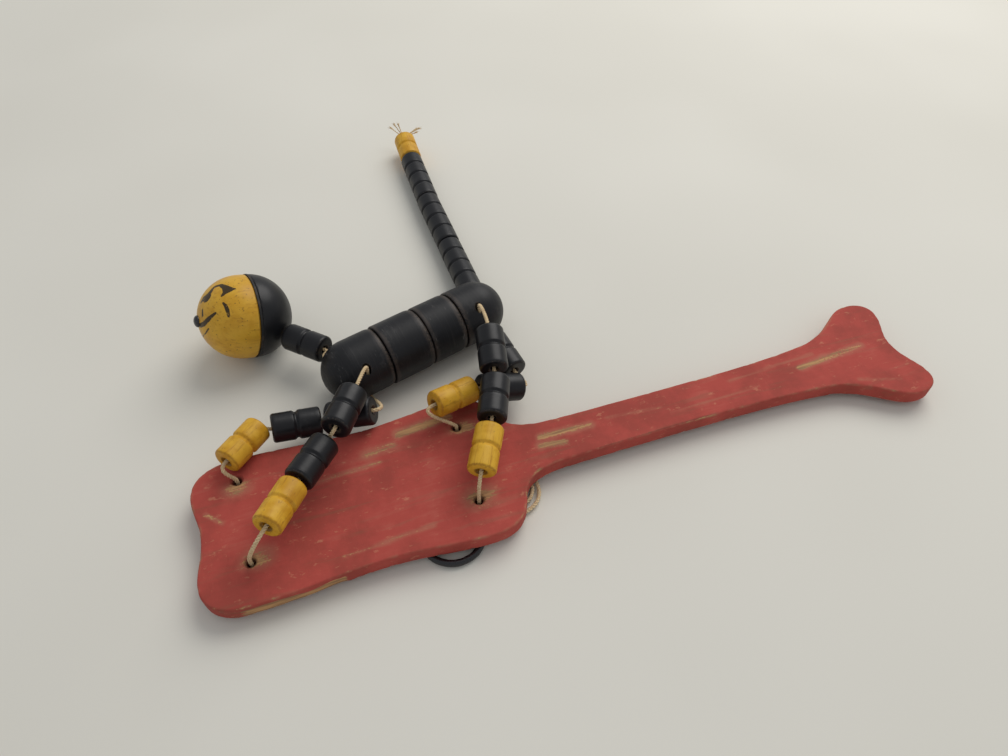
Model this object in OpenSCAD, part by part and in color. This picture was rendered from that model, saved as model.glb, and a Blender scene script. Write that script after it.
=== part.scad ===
// String-jointed bead cat on a fish-tailed hand paddle, with two pull rings below.
// Millimetres. The origin is on the paddle's underside, on its long axis, 56.5 mm
// from its broad end. +X runs towards the handle's tail, +Z up through the paddle.
// The cat lies collapsed on its right flank beyond the far edge, as it rests when
// the rings are let go; every bead keeps the place it has in that posture.

/* [Paddle] */
// Overall length of the paddle
paddle_l = 286; // [270:1:310]
// Thickness of the board
paddle_t = 6.4; // [5:0.1:8]
// Length of the wide body, up to the shoulder above the handle
body_l = 112; // [108:1:118]
// Width across the two shoulders near the handle
body_w = 60.4; // [56:0.2:66]
// Width across the two corners at the broad end
broad_w = 58; // [54:0.2:62]
// Width at the waist
waist_w = 54.4; // [50:0.2:58]
// Depth of the hollow in the middle of the broad end
end_hollow = 2.3; // [0:0.1:5]
// Width of the handle at its slimmest
handle_w = 18.2; // [15:0.2:22]
// Width across the fish tail
tail_w = 50.6; // [44:0.2:56]
// Depth of the notch between the two tail lobes
notch_d = 5; // [2:0.5:9]
// Height of the softened edge, on both faces
edge_soft = 0.6; // [0.2:0.1:1.2]

/* [Cord holes in the paddle] */
// Diameter of the four cord holes
hole_d = 3.2; // [2.6:0.1:4]
// Depth of the bevel that the cord has worn at a hole's mouths
hole_wear = 0.9; // [0.2:0.1:1.4]
// Distance of the front pair from the broad end
front_hole_in = 16.8; // [14:0.2:20]
// Distance from the front pair to the rear pair
hole_pitch = 79.6; // [76:0.2:83]
// Distance between the two front holes, across the paddle
front_hole_gap = 33.4; // [31:0.2:36]
// Distance between the two rear holes, across the paddle
rear_hole_gap = 32.6; // [30:0.2:35]

/* [Leg, neck and tail beads] */
// Diameter of the black bead dowel
bead_d = 11; // [9.5:0.1:11.6]
// Diameter of the yellow beads at the feet
foot_d = 10.5; // [9:0.1:11.4]
// Length of one plain stretch between two grooves
bead_seg = 9; // [8:0.1:9.4]
// Width of a groove at the surface
groove_w = 2.5; // [1.2:0.1:3.2]
// Depth of a groove
groove_deep = 0.7; // [0.3:0.05:1.4]
// Radius that rounds the bead's rims
rim_r = 1.1; // [0.4:0.1:2]
// Diameter of the cord bore through a bead
bead_bore = 3; // [2.2:0.1:4]
// Depth of the eased mouths of a bead's bore
mouth_soft = 0.6; // [0.2:0.1:0.9]

/* [Torso] */
// Diameter of the torso pieces
torso_d = 24.8; // [23:0.1:25.4]
// How much wider the front middle piece is turned than the others
mid_extra = 0.3; // [0:0.1:0.6]
// Length of the chest's straight part, behind its dome
chest_l = 12.9; // [11:0.1:13.2]
// Length of the front middle piece
mid_front_l = 18.2; // [16:0.1:18.5]
// Length of the rear middle piece
mid_rear_l = 15.5; // [13:0.1:15.8]
// Length of the rump's straight part, ahead of its dome
rump_l = 10.4; // [8:0.1:10.8]
// Radius that breaks the crisp front rim of a piece
torso_rim_r = 0.5; // [0.2:0.1:1]
// Length of the soft shoulder at a piece's rear rim
shoulder_l = 3; // [1:0.2:4.4]
// How far a soft shoulder falls in
shoulder_in = 1.1; // [0.4:0.1:2]
// Diameter of the body cord's bore
torso_bore = 3.4; // [2.8:0.1:5]
// Diameter of the leg cords' cross holes
leg_hole_d = 3.4; // [2.8:0.1:4]
// Distance of a cross hole below the torso's axis, towards the belly
leg_hole_drop = 8.6; // [7:0.1:9.4]
// Distance of a cross hole from the dome's centre, towards the middle
leg_hole_in = 2.4; // [1:0.1:5]
// Angle between the torso's axis and the neck and tail bores
dorsal_angle = 60; // [50:1:70]

/* [Head] */
// Diameter of the head
head_d = 34.2; // [32:0.1:34.6]
// Length of the face half, from the seam to its front
face_l = 20.2; // [18:0.1:24]
// Length of the back half, from the seam to its rear
back_l = 16; // [13:0.1:16.4]
// Thickness of the disc clamped in the seam
disc_t = 0.8; // [0.4:0.1:1.6]
// How far the disc stands out of the seam
disc_proud = 0.15; // [0:0.05:0.6]
// Diameter of the nose tack's dome
nose_d = 4.8; // [3:0.1:6]

/* [Pull rings] */
// Outer diameter of a pull ring
ring_od = 24; // [21:0.5:26]
// Wire diameter of a pull ring
ring_wire = 2.5; // [2:0.1:3]

/* [Cord] */
// Diameter of the waxed cord
cord_d = 1.5; // [1.1:0.1:1.7]
// Diameter of a loose fibre at the frayed end
fray_d = 0.5; // [0.3:0.05:0.7]

/* [Hidden] */
// Clearance between the rings and the paddle that lies on them
ring_clear = 0.1;
// Half the gap left in the cord where it flexes at a pivot
flex_gap = 0.35;
// Length over which a cord's end narrows, so that it can swing
cord_end = 0.5;
broad_end = -56.5;
table_z = -(ring_wire + ring_clear);
front_x = broad_end + front_hole_in;
rear_x = front_x + hole_pitch;
shoulder_x = broad_end + body_l;
leg_l = 2 * bead_seg;
tail_bead_l = 4 * bead_seg;
torso_r = torso_d / 2;
// Heading of the lying torso, from chest to rump, seen from above
torso_heading = 16;
// Centre of the chest's dome, lying on the table with a hair of clearance
chest_at = [9.2, 54.7, table_z + torso_r + mid_extra / 2 + 0.05];
// How far chest and rump have rolled about the torso's axis
chest_roll = 6;
rump_roll = -6;
// Gap between two torso pieces
torso_gap = 0.2;
// Centre of the head's seam, and the headings of the face and the neck bead
face_heading = 189.4;
face_rise = 17.6;
head_sunk = sqrt(pow(head_d / 2 * cos(face_rise), 2) + pow(back_l * sin(face_rise), 2));
head_seam_at = [-25.4, 93.1, table_z + head_sunk + 0.05];
// How far the head has rolled over to its side
head_roll = 89;
neck_heading = 134.6;
neck_rise = -2;
neck_step = [0.4, 4.3, 0.1];

// Rest posture of the legs, from the paddle hole up to the torso. Each bead gives
// the cord's step from the last bead's end, then its heading and its rise, taken
// from the end at the torso towards the foot. The rear legs lie over the shoulder, so
// their feet lie a set way in from there.
near_front = [[[8.9, 1.8, 15.3], -126, 8], [[1.5, 0.8, 0.6], -130, 5], [[4.3, 0.5, 5.7], -122, 4]];
far_front = [[[-1.6, 4.4, 6.4], -135, 4], [[4.1, -1.6, -0.8], 180, 8], [[3.1, 0.7, 0.2], 160, -14]];
near_foot_x = shoulder_x - rear_x - 13.2;
far_foot_x = shoulder_x - rear_x - 22.4;
near_rear = [[[near_foot_x, 4.2, 10.3], -118, -6], [[1.2, 1.5, 2.4], -113, -2], [[0.6, 3.6, 1.4], -102, -9]];
far_rear = [[[far_foot_x, 5.2, 9.9], -160, 12],
    [[2.4, -1.3, 0.5], 182, 20], [[0.2, 7.1, 1.5], -80, -6]];

// Rest posture of the tail beads: step from the last end, heading and rise outwards
tail_chain = [[[0.8, 4.4, -3.7], 90, -3], [[0, 0.6, 0.3], 91, 0],
    [[0.2, 0.6, 0], 89, 1], [[0.3, 0.5, 0.2], 88, 3]];

// Pull ring centres, lying flat on the table under the paddle
front_ring_at = [-12, 3];
rear_ring_at = [27.3, -21.6];
// Where the two cords enter each ring, as turns round its centre: far cord, near cord
front_ties = [171, 189];
rear_ties = [-6, 12];
// Routes of the slack cords from the holes to the rings, seen from above
front_far_route = [[-37, 16], [-32, 10]];
front_near_route = [[-36.5, -10], [-32, -3]];
rear_far_route = [[46, 12], [56, 3], [62, -6], [62.6, -11.7], [61.8, -16], [59, -19.4],
    [54.5, -21.3], [48, -22.6]];
rear_near_route = [[44.5, -11], [52, -7], [58.3, -7.6], [60.5, -11.5], [59.4, -14.8],
    [56.8, -17.3], [51, -18.6]];

paddle_red = [0.63, 0.25, 0.21];
bead_black = [0.16, 0.15, 0.15];
bead_yellow = [0.78, 0.58, 0.2];
cord_tan = [0.75, 0.65, 0.48];
ring_black = [0.1, 0.1, 0.11];

// Vector helpers
function unit(v) = v / norm(v);
function dir(heading, rise) = [cos(rise) * cos(heading), cos(rise) * sin(heading), sin(rise)];

// A cubic curve through four control points, as n steps from t0 to t1
function bez(p, t) = pow(1 - t, 3) * p[0] + 3 * t * pow(1 - t, 2) * p[1]
    + 3 * t * t * (1 - t) * p[2] + pow(t, 3) * p[3];
function curve(p, n, t0 = 0, t1 = 1) = [for (i = [0:n]) bez(p, t0 + (t1 - t0) * i / n)];

// A smooth curve through every point of a route
function route_point(r, i, t) =
    let (n = len(r) - 1, a = r[max(i - 1, 0)], b = r[i], c = r[min(i + 1, n)], d = r[min(i + 2, n)])
    0.5 * (2 * b + (c - a) * t + (2 * a - 5 * b + 4 * c - d) * t * t + (3 * b - 3 * c + d - a) * t * t * t);
function smooth_route(r, n) = [for (i = [0:len(r) - 2]) for (k = [0:n - 1]) route_point(r, i, k / n),
    r[len(r) - 1]];

// A path with one more point just inside each end, where the narrowed end begins
function with_ends(p) = let (n = len(p) - 1, a = p[1] - p[0], b = p[n - 1] - p[n]) concat([p[0],
    p[0] + min(cord_end, norm(a) / 2) * unit(a)], [for (i = [1:n - 1]) p[i]],
    [p[n] + min(cord_end, norm(b) / 2) * unit(b), p[n]]);

// The rings of points of a knot, as places and radii from the cord's end onwards
function knot_rings(at, along, d) = [for (a = [-50:20:90]) [at + d / 2 * (sin(50) + sin(a)) * along,
    max(d / 2 * cos(a), 0.2)]];

// A cord swept along a path as a tube that doesn't twist, narrowed at both ends or knotted at its last
module tube(route, d, sides = 8, knot = 0) {
    path = with_ends(route);
    last = len(path) - 1;
    onwards = unit(path[last] - path[last - 1]);
    rings = concat([[path[0], 0.2 * d]], [for (i = [1:last - 1]) [path[i], d / 2]],
        knot > 0 ? knot_rings(path[last], onwards, knot) : [[path[last], 0.2 * d]]);
    n = len(rings);
    steps = [for (i = [0:n - 1]) unit(rings[min(i + 1, n - 1)][0] - rings[max(i - 1, 0)][0])];
    first = abs(steps[0][2]) < 0.8 ? cross(steps[0], [0, 0, 1]) : cross(steps[0], [1, 0, 0]);
    across = [for (i = 0, u = unit(first); i < n; i = i + 1,
        u = i < n ? unit(u - (u * steps[i]) * steps[i]) : u) u];
    points = [for (i = [0:n - 1]) for (k = [0:sides - 1])
        let (u = across[i], v = cross(steps[i], u), turn = 360 * k / sides)
        rings[i][0] + rings[i][1] * (u * cos(turn) + v * sin(turn))];
    walls = [for (i = [0:n - 2]) for (k = [0:sides - 1])
        let (a = i * sides + k, b = i * sides + (k + 1) % sides)
        each [[a, a + sides, b + sides], [a, b + sides, b]]];
    e = (n - 1) * sides;
    caps = [for (k = [1:sides - 2]) each [[0, k, k + 1], [e, e + k + 1, e + k]]];
    polyhedron(points, concat(walls, caps));
}

// Half of the paddle's outline, from the middle of the broad end to the tail notch
tail_from = paddle_l - 72;
half_outline = concat(
    curve([[end_hollow, 0], [end_hollow, 7], [0, 11], [0, 17]], 5),
    curve([[0, 17], [0, 24], [5.5, broad_w / 2 - 0.4], [13, broad_w / 2]], 6, 1 / 6),
    curve([[13, broad_w / 2], [30, broad_w / 2 + 1], [42, waist_w / 2], [60, waist_w / 2]], 7, 1 / 7),
    curve([[60, waist_w / 2], [74, waist_w / 2], [84, body_w / 2], [body_l - 15, body_w / 2]], 6, 1 / 6),
    curve([[body_l - 15, body_w / 2], [body_l - 6, body_w / 2], [body_l - 2, 26], [body_l, 20]], 6, 1 / 6),
    curve([[body_l, 20], [body_l + 2.2, 13],
        [body_l + 5.5, 10.8], [body_l + 16, handle_w / 2 + 0.4]], 6, 1 / 6),
    curve([[body_l + 16, handle_w / 2 + 0.4], [body_l + 43, handle_w / 2 - 0.2],
        [tail_from - 27, handle_w / 2 - 0.2], [tail_from, handle_w / 2 + 0.3]], 6, 1 / 6),
    curve([[tail_from, handle_w / 2 + 0.3], [tail_from + 14, handle_w / 2 + 0.7],
        [tail_from + 26, handle_w / 2 + 1.5], [tail_from + 34, handle_w / 2 + 2.9]], 4, 1 / 4),
    curve([[tail_from + 34, handle_w / 2 + 2.9], [tail_from + 48, handle_w / 2 + 6.4],
        [tail_from + 53, tail_w / 2 - 0.1], [tail_from + 62, tail_w / 2]], 6, 1 / 6),
    curve([[tail_from + 62, tail_w / 2], [tail_from + 68, tail_w / 2 + 0.2],
        [paddle_l, tail_w / 2 - 2.8], [paddle_l, tail_w / 2 - 7.3]], 5, 1 / 5),
    curve([[paddle_l, tail_w / 2 - 7.3], [paddle_l, 11],
        [paddle_l - notch_d, 8], [paddle_l - notch_d, 0]], 6, 1 / 6));
outline = [for (p = half_outline) [broad_end + p[0], p[1]],
    for (i = [len(half_outline) - 2:-1:1]) [broad_end + half_outline[i][0], -half_outline[i][1]]];

// The outline drawn in by a small amount, square to its edge
function drawn_in(o, by) = [for (i = [0:len(o) - 1])
    let (n = len(o), t = unit(o[(i + 1) % n] - o[(i + n - 1) % n])) o[i] + by * [t[1], -t[0]]];

// The cord holes: an even place, and how far each hand-drilled hole strays from it
function hole_at(x, y, stray) = [x + stray[0], y + stray[1], paddle_t];
left_front_hole = hole_at(front_x, -front_hole_gap / 2, [0.5, 3]);
right_front_hole = hole_at(front_x, front_hole_gap / 2, [-0.4, 3]);
left_rear_hole = hole_at(rear_x, -rear_hole_gap / 2, [-0.8, 0.9]);
right_rear_hole = hole_at(rear_x, rear_hole_gap / 2, [0.9, 0.9]);
holes = [left_front_hole, right_front_hole, left_rear_hole, right_rear_hole];
// Width of a worn mouth, a tenth of a millimetre outside the board
worn_d = hole_d + 2 * (hole_wear + 0.1);

module paddle() {
    n = len(outline);
    layers = [[0, edge_soft], [edge_soft * 0.3, edge_soft * 0.3], [edge_soft, 0],
        [paddle_t - edge_soft, 0], [paddle_t - edge_soft * 0.3, edge_soft * 0.3], [paddle_t, edge_soft]];
    points = [for (s = layers) for (p = drawn_in(outline, s[1])) [p[0], p[1], s[0]]];
    walls = [for (i = [0:len(layers) - 2]) for (k = [0:n - 1])
        let (a = i * n + k, b = i * n + (k + 1) % n) each [[a, b + n, a + n], [a, b, b + n]]];
    // Each face of the board is laid in strips from the far edge to the near edge
    half = len(half_outline) - 1;
    e = (len(layers) - 1) * n;
    strips = [for (k = [1:half - 2]) each [[n - k, n - k - 1, k + 1, k],
        [e + k, e + k + 1, e + n - k - 1, e + n - k]]];
    ends = [[0, n - 1, 1], [half, half - 1, half + 1],
        [e, e + 1, e + n - 1], [e + half, e + half + 1, e + half - 1]];
    color(paddle_red) difference() {
        polyhedron(points, concat(walls, strips, ends));
        for (h = holes) translate([h[0], h[1], 0]) {
            translate([0, 0, -1]) cylinder(d = hole_d, h = paddle_t + 2, $fn = 32);
            translate([0, 0, -0.1])
                cylinder(d1 = worn_d, d2 = hole_d, h = hole_wear + 0.1, $fn = 32);
            translate([0, 0, paddle_t - hole_wear])
                cylinder(d1 = hole_d, d2 = worn_d, h = hole_wear + 0.1, $fn = 32);
        }
    }
}

// Turned dowel bead along +Z from z = 0, with its rims rounded and a groove between stretches
module turned_bead(stretches, d = bead_d) {
    l = stretches * bead_seg;
    r = d / 2;
    rims = [for (a = [0:22.5:90]) [r - rim_r + rim_r * sin(a), rim_r - rim_r * cos(a)]];
    grooves = [for (i = [1:stretches - 1]) for (a = [-180:45:180])
        [r - groove_deep * (1 + cos(a)) / 2, i * bead_seg + groove_w * a / 360]];
    tops = [for (a = [90:-22.5:0]) [r - rim_r + rim_r * sin(a), l - rim_r + rim_r * cos(a)]];
    rotate_extrude($fn = 48)
        polygon(concat([[bead_bore / 2, mouth_soft], [bead_bore / 2 + mouth_soft, 0]], rims, grooves, tops,
            [[bead_bore / 2 + mouth_soft, l], [bead_bore / 2, l - mouth_soft]]));
}

// A leg's bead ends: for bead k, its foot end and its torso end
function bead_foot(leg, hole, k) = (k == 0 ? hole : bead_top(leg, hole, k - 1)) + leg[k][0];
function bead_top(leg, hole, k) = bead_foot(leg, hole, k) - leg_l * dir(leg[k][1], leg[k][2]);
function bead_dir(leg, k) = dir(leg[k][1], leg[k][2]);

module leg_bead(leg, hole, k) {
    translate(bead_top(leg, hole, k)) rotate([0, 90 - leg[k][2], leg[k][1]])
        turned_bead(2, k == 0 ? foot_d : bead_d);
}

// The cord's free curve from one end, leaving along a, to the next, arriving along c. It
// runs straight for longer where it has to turn back round a bead's rim.
swing = 3.4;
function wide(gap, a) = 0.4 * norm(gap) + swing * (1 - unit(gap) * a);
function link(from, a, to, c) = [from, from + a * wide(to - from, a), to - c * wide(to - from, c), to];
// The same between two beads whose ends face each other: across the gap at once
function tight(gap, a) = gap * a > 0.12 * norm(gap) ? 0.6 * max(gap * a, 1) : wide(gap, a);
function close_link(from, a, to, c) =
    [from, from + a * tight(to - from, a), to - c * tight(to - from, c), to];
function first_half(p) = let (l = norm(p[3] - p[0]))
    l < 1.5 ? [p[0]] : curve(p, l < 4 ? 2 : 4, 0, 0.5 - flex_gap / l);
function last_half(p) = let (l = norm(p[3] - p[0]))
    l < 1.5 ? [p[3]] : curve(p, l < 4 ? 2 : 4, 0.5 + flex_gap / l, 1);

// Places in the torso's own frame: s along the axis from the chest's dome centre,
// d towards the back, u towards the left flank, with roll about the axis
axis = dir(torso_heading, 0);
back = dir(torso_heading + 90, 0);
up = [0, 0, 1];
function torso_point(s, d, u, roll = 0) = chest_at + s * axis
    + (d * cos(roll) - u * sin(roll)) * back + (d * sin(roll) + u * cos(roll)) * up;
function torso_dir(s, d, u, roll = 0) = torso_point(s, d, u, roll) - chest_at;

chest_end = chest_l;
front_mid_at = chest_end + torso_gap;
rear_mid_at = front_mid_at + mid_front_l + torso_gap;
rump_at = rear_mid_at + mid_rear_l + torso_gap;
rump_centre = rump_at + rump_l;
leg_hole_u = sqrt(torso_r * torso_r - leg_hole_drop * leg_hole_drop);

// Where the cords leave the torso: the four hips, the neck and the tail
left_front_hip = torso_point(leg_hole_in, -leg_hole_drop, leg_hole_u, chest_roll);
right_front_hip = torso_point(leg_hole_in, -leg_hole_drop, -leg_hole_u, chest_roll);
left_rear_hip = torso_point(rump_centre - leg_hole_in, -leg_hole_drop, leg_hole_u, rump_roll);
right_rear_hip = torso_point(rump_centre - leg_hole_in, -leg_hole_drop, -leg_hole_u, rump_roll);
neck_dir = torso_dir(-cos(dorsal_angle), sin(dorsal_angle), 0, chest_roll);
tail_dir = torso_dir(cos(dorsal_angle), sin(dorsal_angle), 0, rump_roll);
neck_exit = torso_point(0, 0, 0) + torso_r * neck_dir;
tail_exit = torso_point(rump_centre, 0, 0) + torso_r * tail_dir;

// Turned torso pieces along +Z from z = 0: a domed end, or a plain collar
function rim_arc(r, inward, long, step) = [for (a = [0:step:90])
    [r - inward + inward * sin(a), long - long * cos(a)]];
function crisp_rim(r) = rim_arc(r, torso_rim_r, torso_rim_r, 30);
function soft_rim(r) = rim_arc(r, shoulder_in, shoulder_l, 15);

module domed_piece(straight, rim) {
    r = torso_r;
    dome = [for (a = [7.5:7.5:90]) [r * cos(a), straight + r * sin(a)]];
    difference() {
        rotate_extrude($fn = 72) polygon(concat([[0, 0]], rim, [[r, straight]], dome));
        translate([0, 0, -1]) cylinder(d = torso_bore, h = straight + 1, $fn = 32);
        translate([0, 0, straight]) rotate([0, dorsal_angle, 0]) translate([0, 0, -1])
            cylinder(d = torso_bore, h = r + 2, $fn = 32);
        translate([-leg_hole_drop, 0, straight - leg_hole_in]) rotate([90, 0, 0])
            cylinder(d = leg_hole_d, h = torso_d, center = true, $fn = 32);
    }
}

module collar(l, d) {
    r = d / 2;
    rear = soft_rim(r);
    high = [for (i = [len(rear) - 1:-1:0]) [rear[i][0], l - rear[i][1]]];
    rotate_extrude($fn = 72)
        polygon(concat([[torso_bore / 2, 0]], crisp_rim(r), high, [[torso_bore / 2, l]]));
}

// The cord through one bead, from the middle of one link to the middle of the next
module joint_cord(from, to) {
    color(cord_tan) tube(concat(last_half(from), first_half(to)), cord_d);
}

// Puts a piece at a place, with its own +Z along z and its own +X along x
module placed(at, z, x) {
    y = cross(z, x);
    rows = [for (i = [0:2]) [x[i], y[i], z[i], at[i]]];
    multmatrix(concat(rows, [[0, 0, 0, 1]]))
        children();
}

module chest() {
    color(bead_black) placed(torso_point(chest_l, 0, 0), -axis, torso_dir(0, 1, 0, chest_roll))
        domed_piece(chest_l, soft_rim(torso_r));
}

module front_middle() {
    color(bead_black) placed(torso_point(front_mid_at, 0, 0), axis, back)
        collar(mid_front_l, torso_d + mid_extra);
}

module rear_middle() {
    color(bead_black) placed(torso_point(rear_mid_at, 0, 0), axis, back) collar(mid_rear_l, torso_d);
}

module rump() {
    color(bead_black) placed(torso_point(rump_at, 0, 0), axis, torso_dir(0, 1, 0, rump_roll))
        domed_piece(rump_l, crisp_rim(torso_r));
}

// The body cord inside the torso: straight along the axis, round the bend in each dome
function bend(from, corner, to) = concat([from], curve([corner + 3 * unit(from - corner), corner, corner,
    corner + 3 * unit(to - corner)], 5), [to]);
neck_foot = neck_exit + neck_step;
neck_along = dir(neck_heading, neck_rise);
neck_top = neck_foot + leg_l * neck_along;
neck_link = link(neck_exit, neck_dir, neck_foot, neck_along);
tail_link = link(tail_exit, tail_dir, tail_foot(0), tail_along(0));

module chest_cord() {
    from = torso_point(chest_l + torso_gap / 2 - flex_gap, 0, 0);
    route = bend(from, torso_point(0, 0, 0), neck_exit);
    color(cord_tan) tube(concat([for (i = [0:len(route) - 2]) route[i]], first_half(neck_link)), cord_d);
}

module rump_cord() {
    from = torso_point(rump_at - torso_gap / 2 + flex_gap, 0, 0);
    route = bend(from, torso_point(rump_centre, 0, 0), tail_exit);
    color(cord_tan) tube(concat([for (i = [0:len(route) - 2]) route[i]], first_half(tail_link)), cord_d);
}

module collar_cord(at, l) {
    color(cord_tan) tube([for (s = [0, 0.5, 1]) torso_point(at - torso_gap / 2 + flex_gap
        + s * (l + torso_gap - 2 * flex_gap), 0, 0)], cord_d);
}

module front_middle_cord() { collar_cord(front_mid_at, mid_front_l); }
module rear_middle_cord() { collar_cord(rear_mid_at, mid_rear_l); }

// The leg cord through a cross hole, as far as the pivots at the two hips
module front_hip_cord() { hip_cord(left_front_hip_link, right_front_hip_link); }
module rear_hip_cord() { hip_cord(left_rear_hip_link, right_rear_hip_link); }

module hip_cord(left_link, right_link) {
    out = first_half(left_link);
    color(cord_tan) tube(concat([for (i = [len(out) - 1:-1:0]) out[i]], first_half(right_link)), cord_d);
}

// Links between a hip and the thigh: the cord leaves square to the flank and folds down
hip_reach = 3.8;
function hip_link(hip, other, leg, hole) =
    let (top = bead_top(leg, hole, 2))
    [hip, hip + hip_reach * unit(hip - other), top - 0.35 * norm(top - hip) * bead_dir(leg, 2), top];
left_front_hip_link = hip_link(left_front_hip, right_front_hip, near_front, left_front_hole);
right_front_hip_link = hip_link(right_front_hip, left_front_hip, far_front, right_front_hole);
left_rear_hip_link = hip_link(left_rear_hip, right_rear_hip, near_rear, left_rear_hole);
right_rear_hip_link = hip_link(right_rear_hip, left_rear_hip, far_rear, right_rear_hole);

// Links between two beads of a leg, and from the foot down into the paddle
function knee_link(leg, hole, k) = close_link(bead_foot(leg, hole, k + 1), bead_dir(leg, k + 1),
    bead_top(leg, hole, k), bead_dir(leg, k));
function foot_link(leg, hole) =
    let (p = link(bead_foot(leg, hole, 0), bead_dir(leg, 0), hole, [0, 0, -1]))
    [p[0], p[1], hole + [0, 0, foot_rise], p[3]];

// How far above the paddle a leg cord already stands square to it
foot_rise = 3;

module foot_cord(leg, hole) {
    color(cord_tan)
        tube(concat(last_half(knee_link(leg, hole, 0)), curve(foot_link(leg, hole), 7)), cord_d);
}

module shin_cord(leg, hole) { joint_cord(knee_link(leg, hole, 1), knee_link(leg, hole, 0)); }

module thigh_cord(leg, hole, hip) { joint_cord(hip, knee_link(leg, hole, 1)); }

module left_front_foot() { color(bead_yellow) leg_bead(near_front, left_front_hole, 0); }
module left_front_shin() { color(bead_black) leg_bead(near_front, left_front_hole, 1); }
module left_front_thigh() { color(bead_black) leg_bead(near_front, left_front_hole, 2); }
module right_front_foot() { color(bead_yellow) leg_bead(far_front, right_front_hole, 0); }
module right_front_shin() { color(bead_black) leg_bead(far_front, right_front_hole, 1); }
module right_front_thigh() { color(bead_black) leg_bead(far_front, right_front_hole, 2); }
module left_rear_foot() { color(bead_yellow) leg_bead(near_rear, left_rear_hole, 0); }
module left_rear_shin() { color(bead_black) leg_bead(near_rear, left_rear_hole, 1); }
module left_rear_thigh() { color(bead_black) leg_bead(near_rear, left_rear_hole, 2); }
module right_rear_foot() { color(bead_yellow) leg_bead(far_rear, right_rear_hole, 0); }
module right_rear_shin() { color(bead_black) leg_bead(far_rear, right_rear_hole, 1); }
module right_rear_thigh() { color(bead_black) leg_bead(far_rear, right_rear_hole, 2); }

module left_front_foot_cord() { foot_cord(near_front, left_front_hole); }
module left_front_shin_cord() { shin_cord(near_front, left_front_hole); }
module left_front_thigh_cord() { thigh_cord(near_front, left_front_hole, left_front_hip_link); }
module right_front_foot_cord() { foot_cord(far_front, right_front_hole); }
module right_front_shin_cord() { shin_cord(far_front, right_front_hole); }
module right_front_thigh_cord() { thigh_cord(far_front, right_front_hole, right_front_hip_link); }
module left_rear_foot_cord() { foot_cord(near_rear, left_rear_hole); }
module left_rear_shin_cord() { shin_cord(near_rear, left_rear_hole); }
module left_rear_thigh_cord() { thigh_cord(near_rear, left_rear_hole, left_rear_hip_link); }
module right_rear_foot_cord() { foot_cord(far_rear, right_rear_hole); }
module right_rear_shin_cord() { shin_cord(far_rear, right_rear_hole); }
module right_rear_thigh_cord() { thigh_cord(far_rear, right_rear_hole, right_rear_hip_link); }

// The neck bead, from the chest towards the head
module neck_bead() {
    color(bead_black) translate(neck_foot) rotate([0, 90 - neck_rise, neck_heading]) turned_bead(2);
}

module neck_cord() { joint_cord(neck_link, head_link); }

// Head axes: the face looks along face_dir, and the head leans over to the far side
face_dir = dir(face_heading, face_rise);
head_side = unit(cross(face_dir, [0, 0, 1]));
head_up = cos(head_roll) * cross(head_side, face_dir) + sin(head_roll) * head_side;
head_r = head_d / 2;
head_core = head_seam_at - disc_t * face_dir;
// The neck cord's bore points at the neck bead; its slant gives where it leaves the back half
head_bore_dir = unit(neck_top - head_core);
bore_slant = acos(-head_bore_dir * face_dir);
back_reach = 1 / sqrt(pow(cos(bore_slant) / back_l, 2) + pow(sin(bore_slant) / head_r, 2));
head_exit = head_core + back_reach * head_bore_dir;
head_link = link(neck_top, neck_along, head_exit, -head_bore_dir);

module in_head() { placed(head_seam_at, face_dir, head_up) children(); }

module head_bore() {
    placed(head_core, head_bore_dir, unit(cross(head_bore_dir, head_side)))
        translate([0, 0, -0.1]) cylinder(d = torso_bore, h = head_r + 5, $fn = 32);
}

// The tack sits on a small flat in the front of the face
nose_at = face_l - head_r + sqrt(head_r * head_r - nose_d * nose_d / 4) - 0.05;

module face_half() {
    land = face_l - head_r;
    arc = [for (a = [0:7.5:90]) [head_r * cos(a), land + head_r * sin(a)]];
    color(bead_yellow) in_head() difference() {
        rotate_extrude($fn = 72) polygon(concat([[0, 0], [head_r - 0.5, 0], [head_r, 0.5]], arc));
        translate([0, 0, face_l - 2.6]) cylinder(d = 1.2, h = 4, $fn = 24);
        translate([0, 0, nose_at]) cylinder(d = nose_d + 0.1, h = 4, $fn = 40);
    }
}

module back_half() {
    arc = [for (a = [0:7.5:90]) [head_r * cos(a), -disc_t - back_l * sin(a)]];
    color(bead_black) difference() {
        in_head() rotate_extrude($fn = 72) polygon(concat([[0, -disc_t], [head_r - 0.4, -disc_t]],
            [for (p = arc) if (p[1] < -disc_t - 0.5) p]));
        head_bore();
    }
}

module ear_disc() {
    color([0.12, 0.11, 0.11]) in_head() translate([0, 0, -disc_t])
        cylinder(r = head_r + disc_proud, h = disc_t, $fn = 72);
}

module nose_tack() {
    r = nose_d / 2;
    dome = [for (a = [0:15:90]) [r * cos(a), 0.35 + 0.6 * r * sin(a)]];
    color(bead_black) in_head() translate([0, 0, nose_at]) union() {
        rotate_extrude($fn = 40) polygon(concat([[0, 0], [r, 0]], dome));
        translate([0, 0, -1.9]) cylinder(d = 1.1, h = 2, $fn = 24);
    }
}

module head_cord() {
    color(cord_tan) tube(concat(last_half(head_link), [head_core + 2 * head_bore_dir]), cord_d);
}

// Tail beads lie end to end from the rump outwards
function tail_foot(k) = (k == 0 ? tail_exit : tail_top(k - 1)) + tail_chain[k][0];
function tail_along(k) = dir(tail_chain[k][1], tail_chain[k][2]);
function tail_top(k) = tail_foot(k) + (k == 3 ? leg_l : tail_bead_l) * tail_along(k);
function tail_gap(k) = link(tail_top(k), tail_along(k), tail_foot(k + 1), tail_along(k + 1));

module tail_piece(k, stretches) {
    translate(tail_foot(k)) rotate([0, 90 - tail_chain[k][2], tail_chain[k][1]]) turned_bead(stretches);
}

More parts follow.
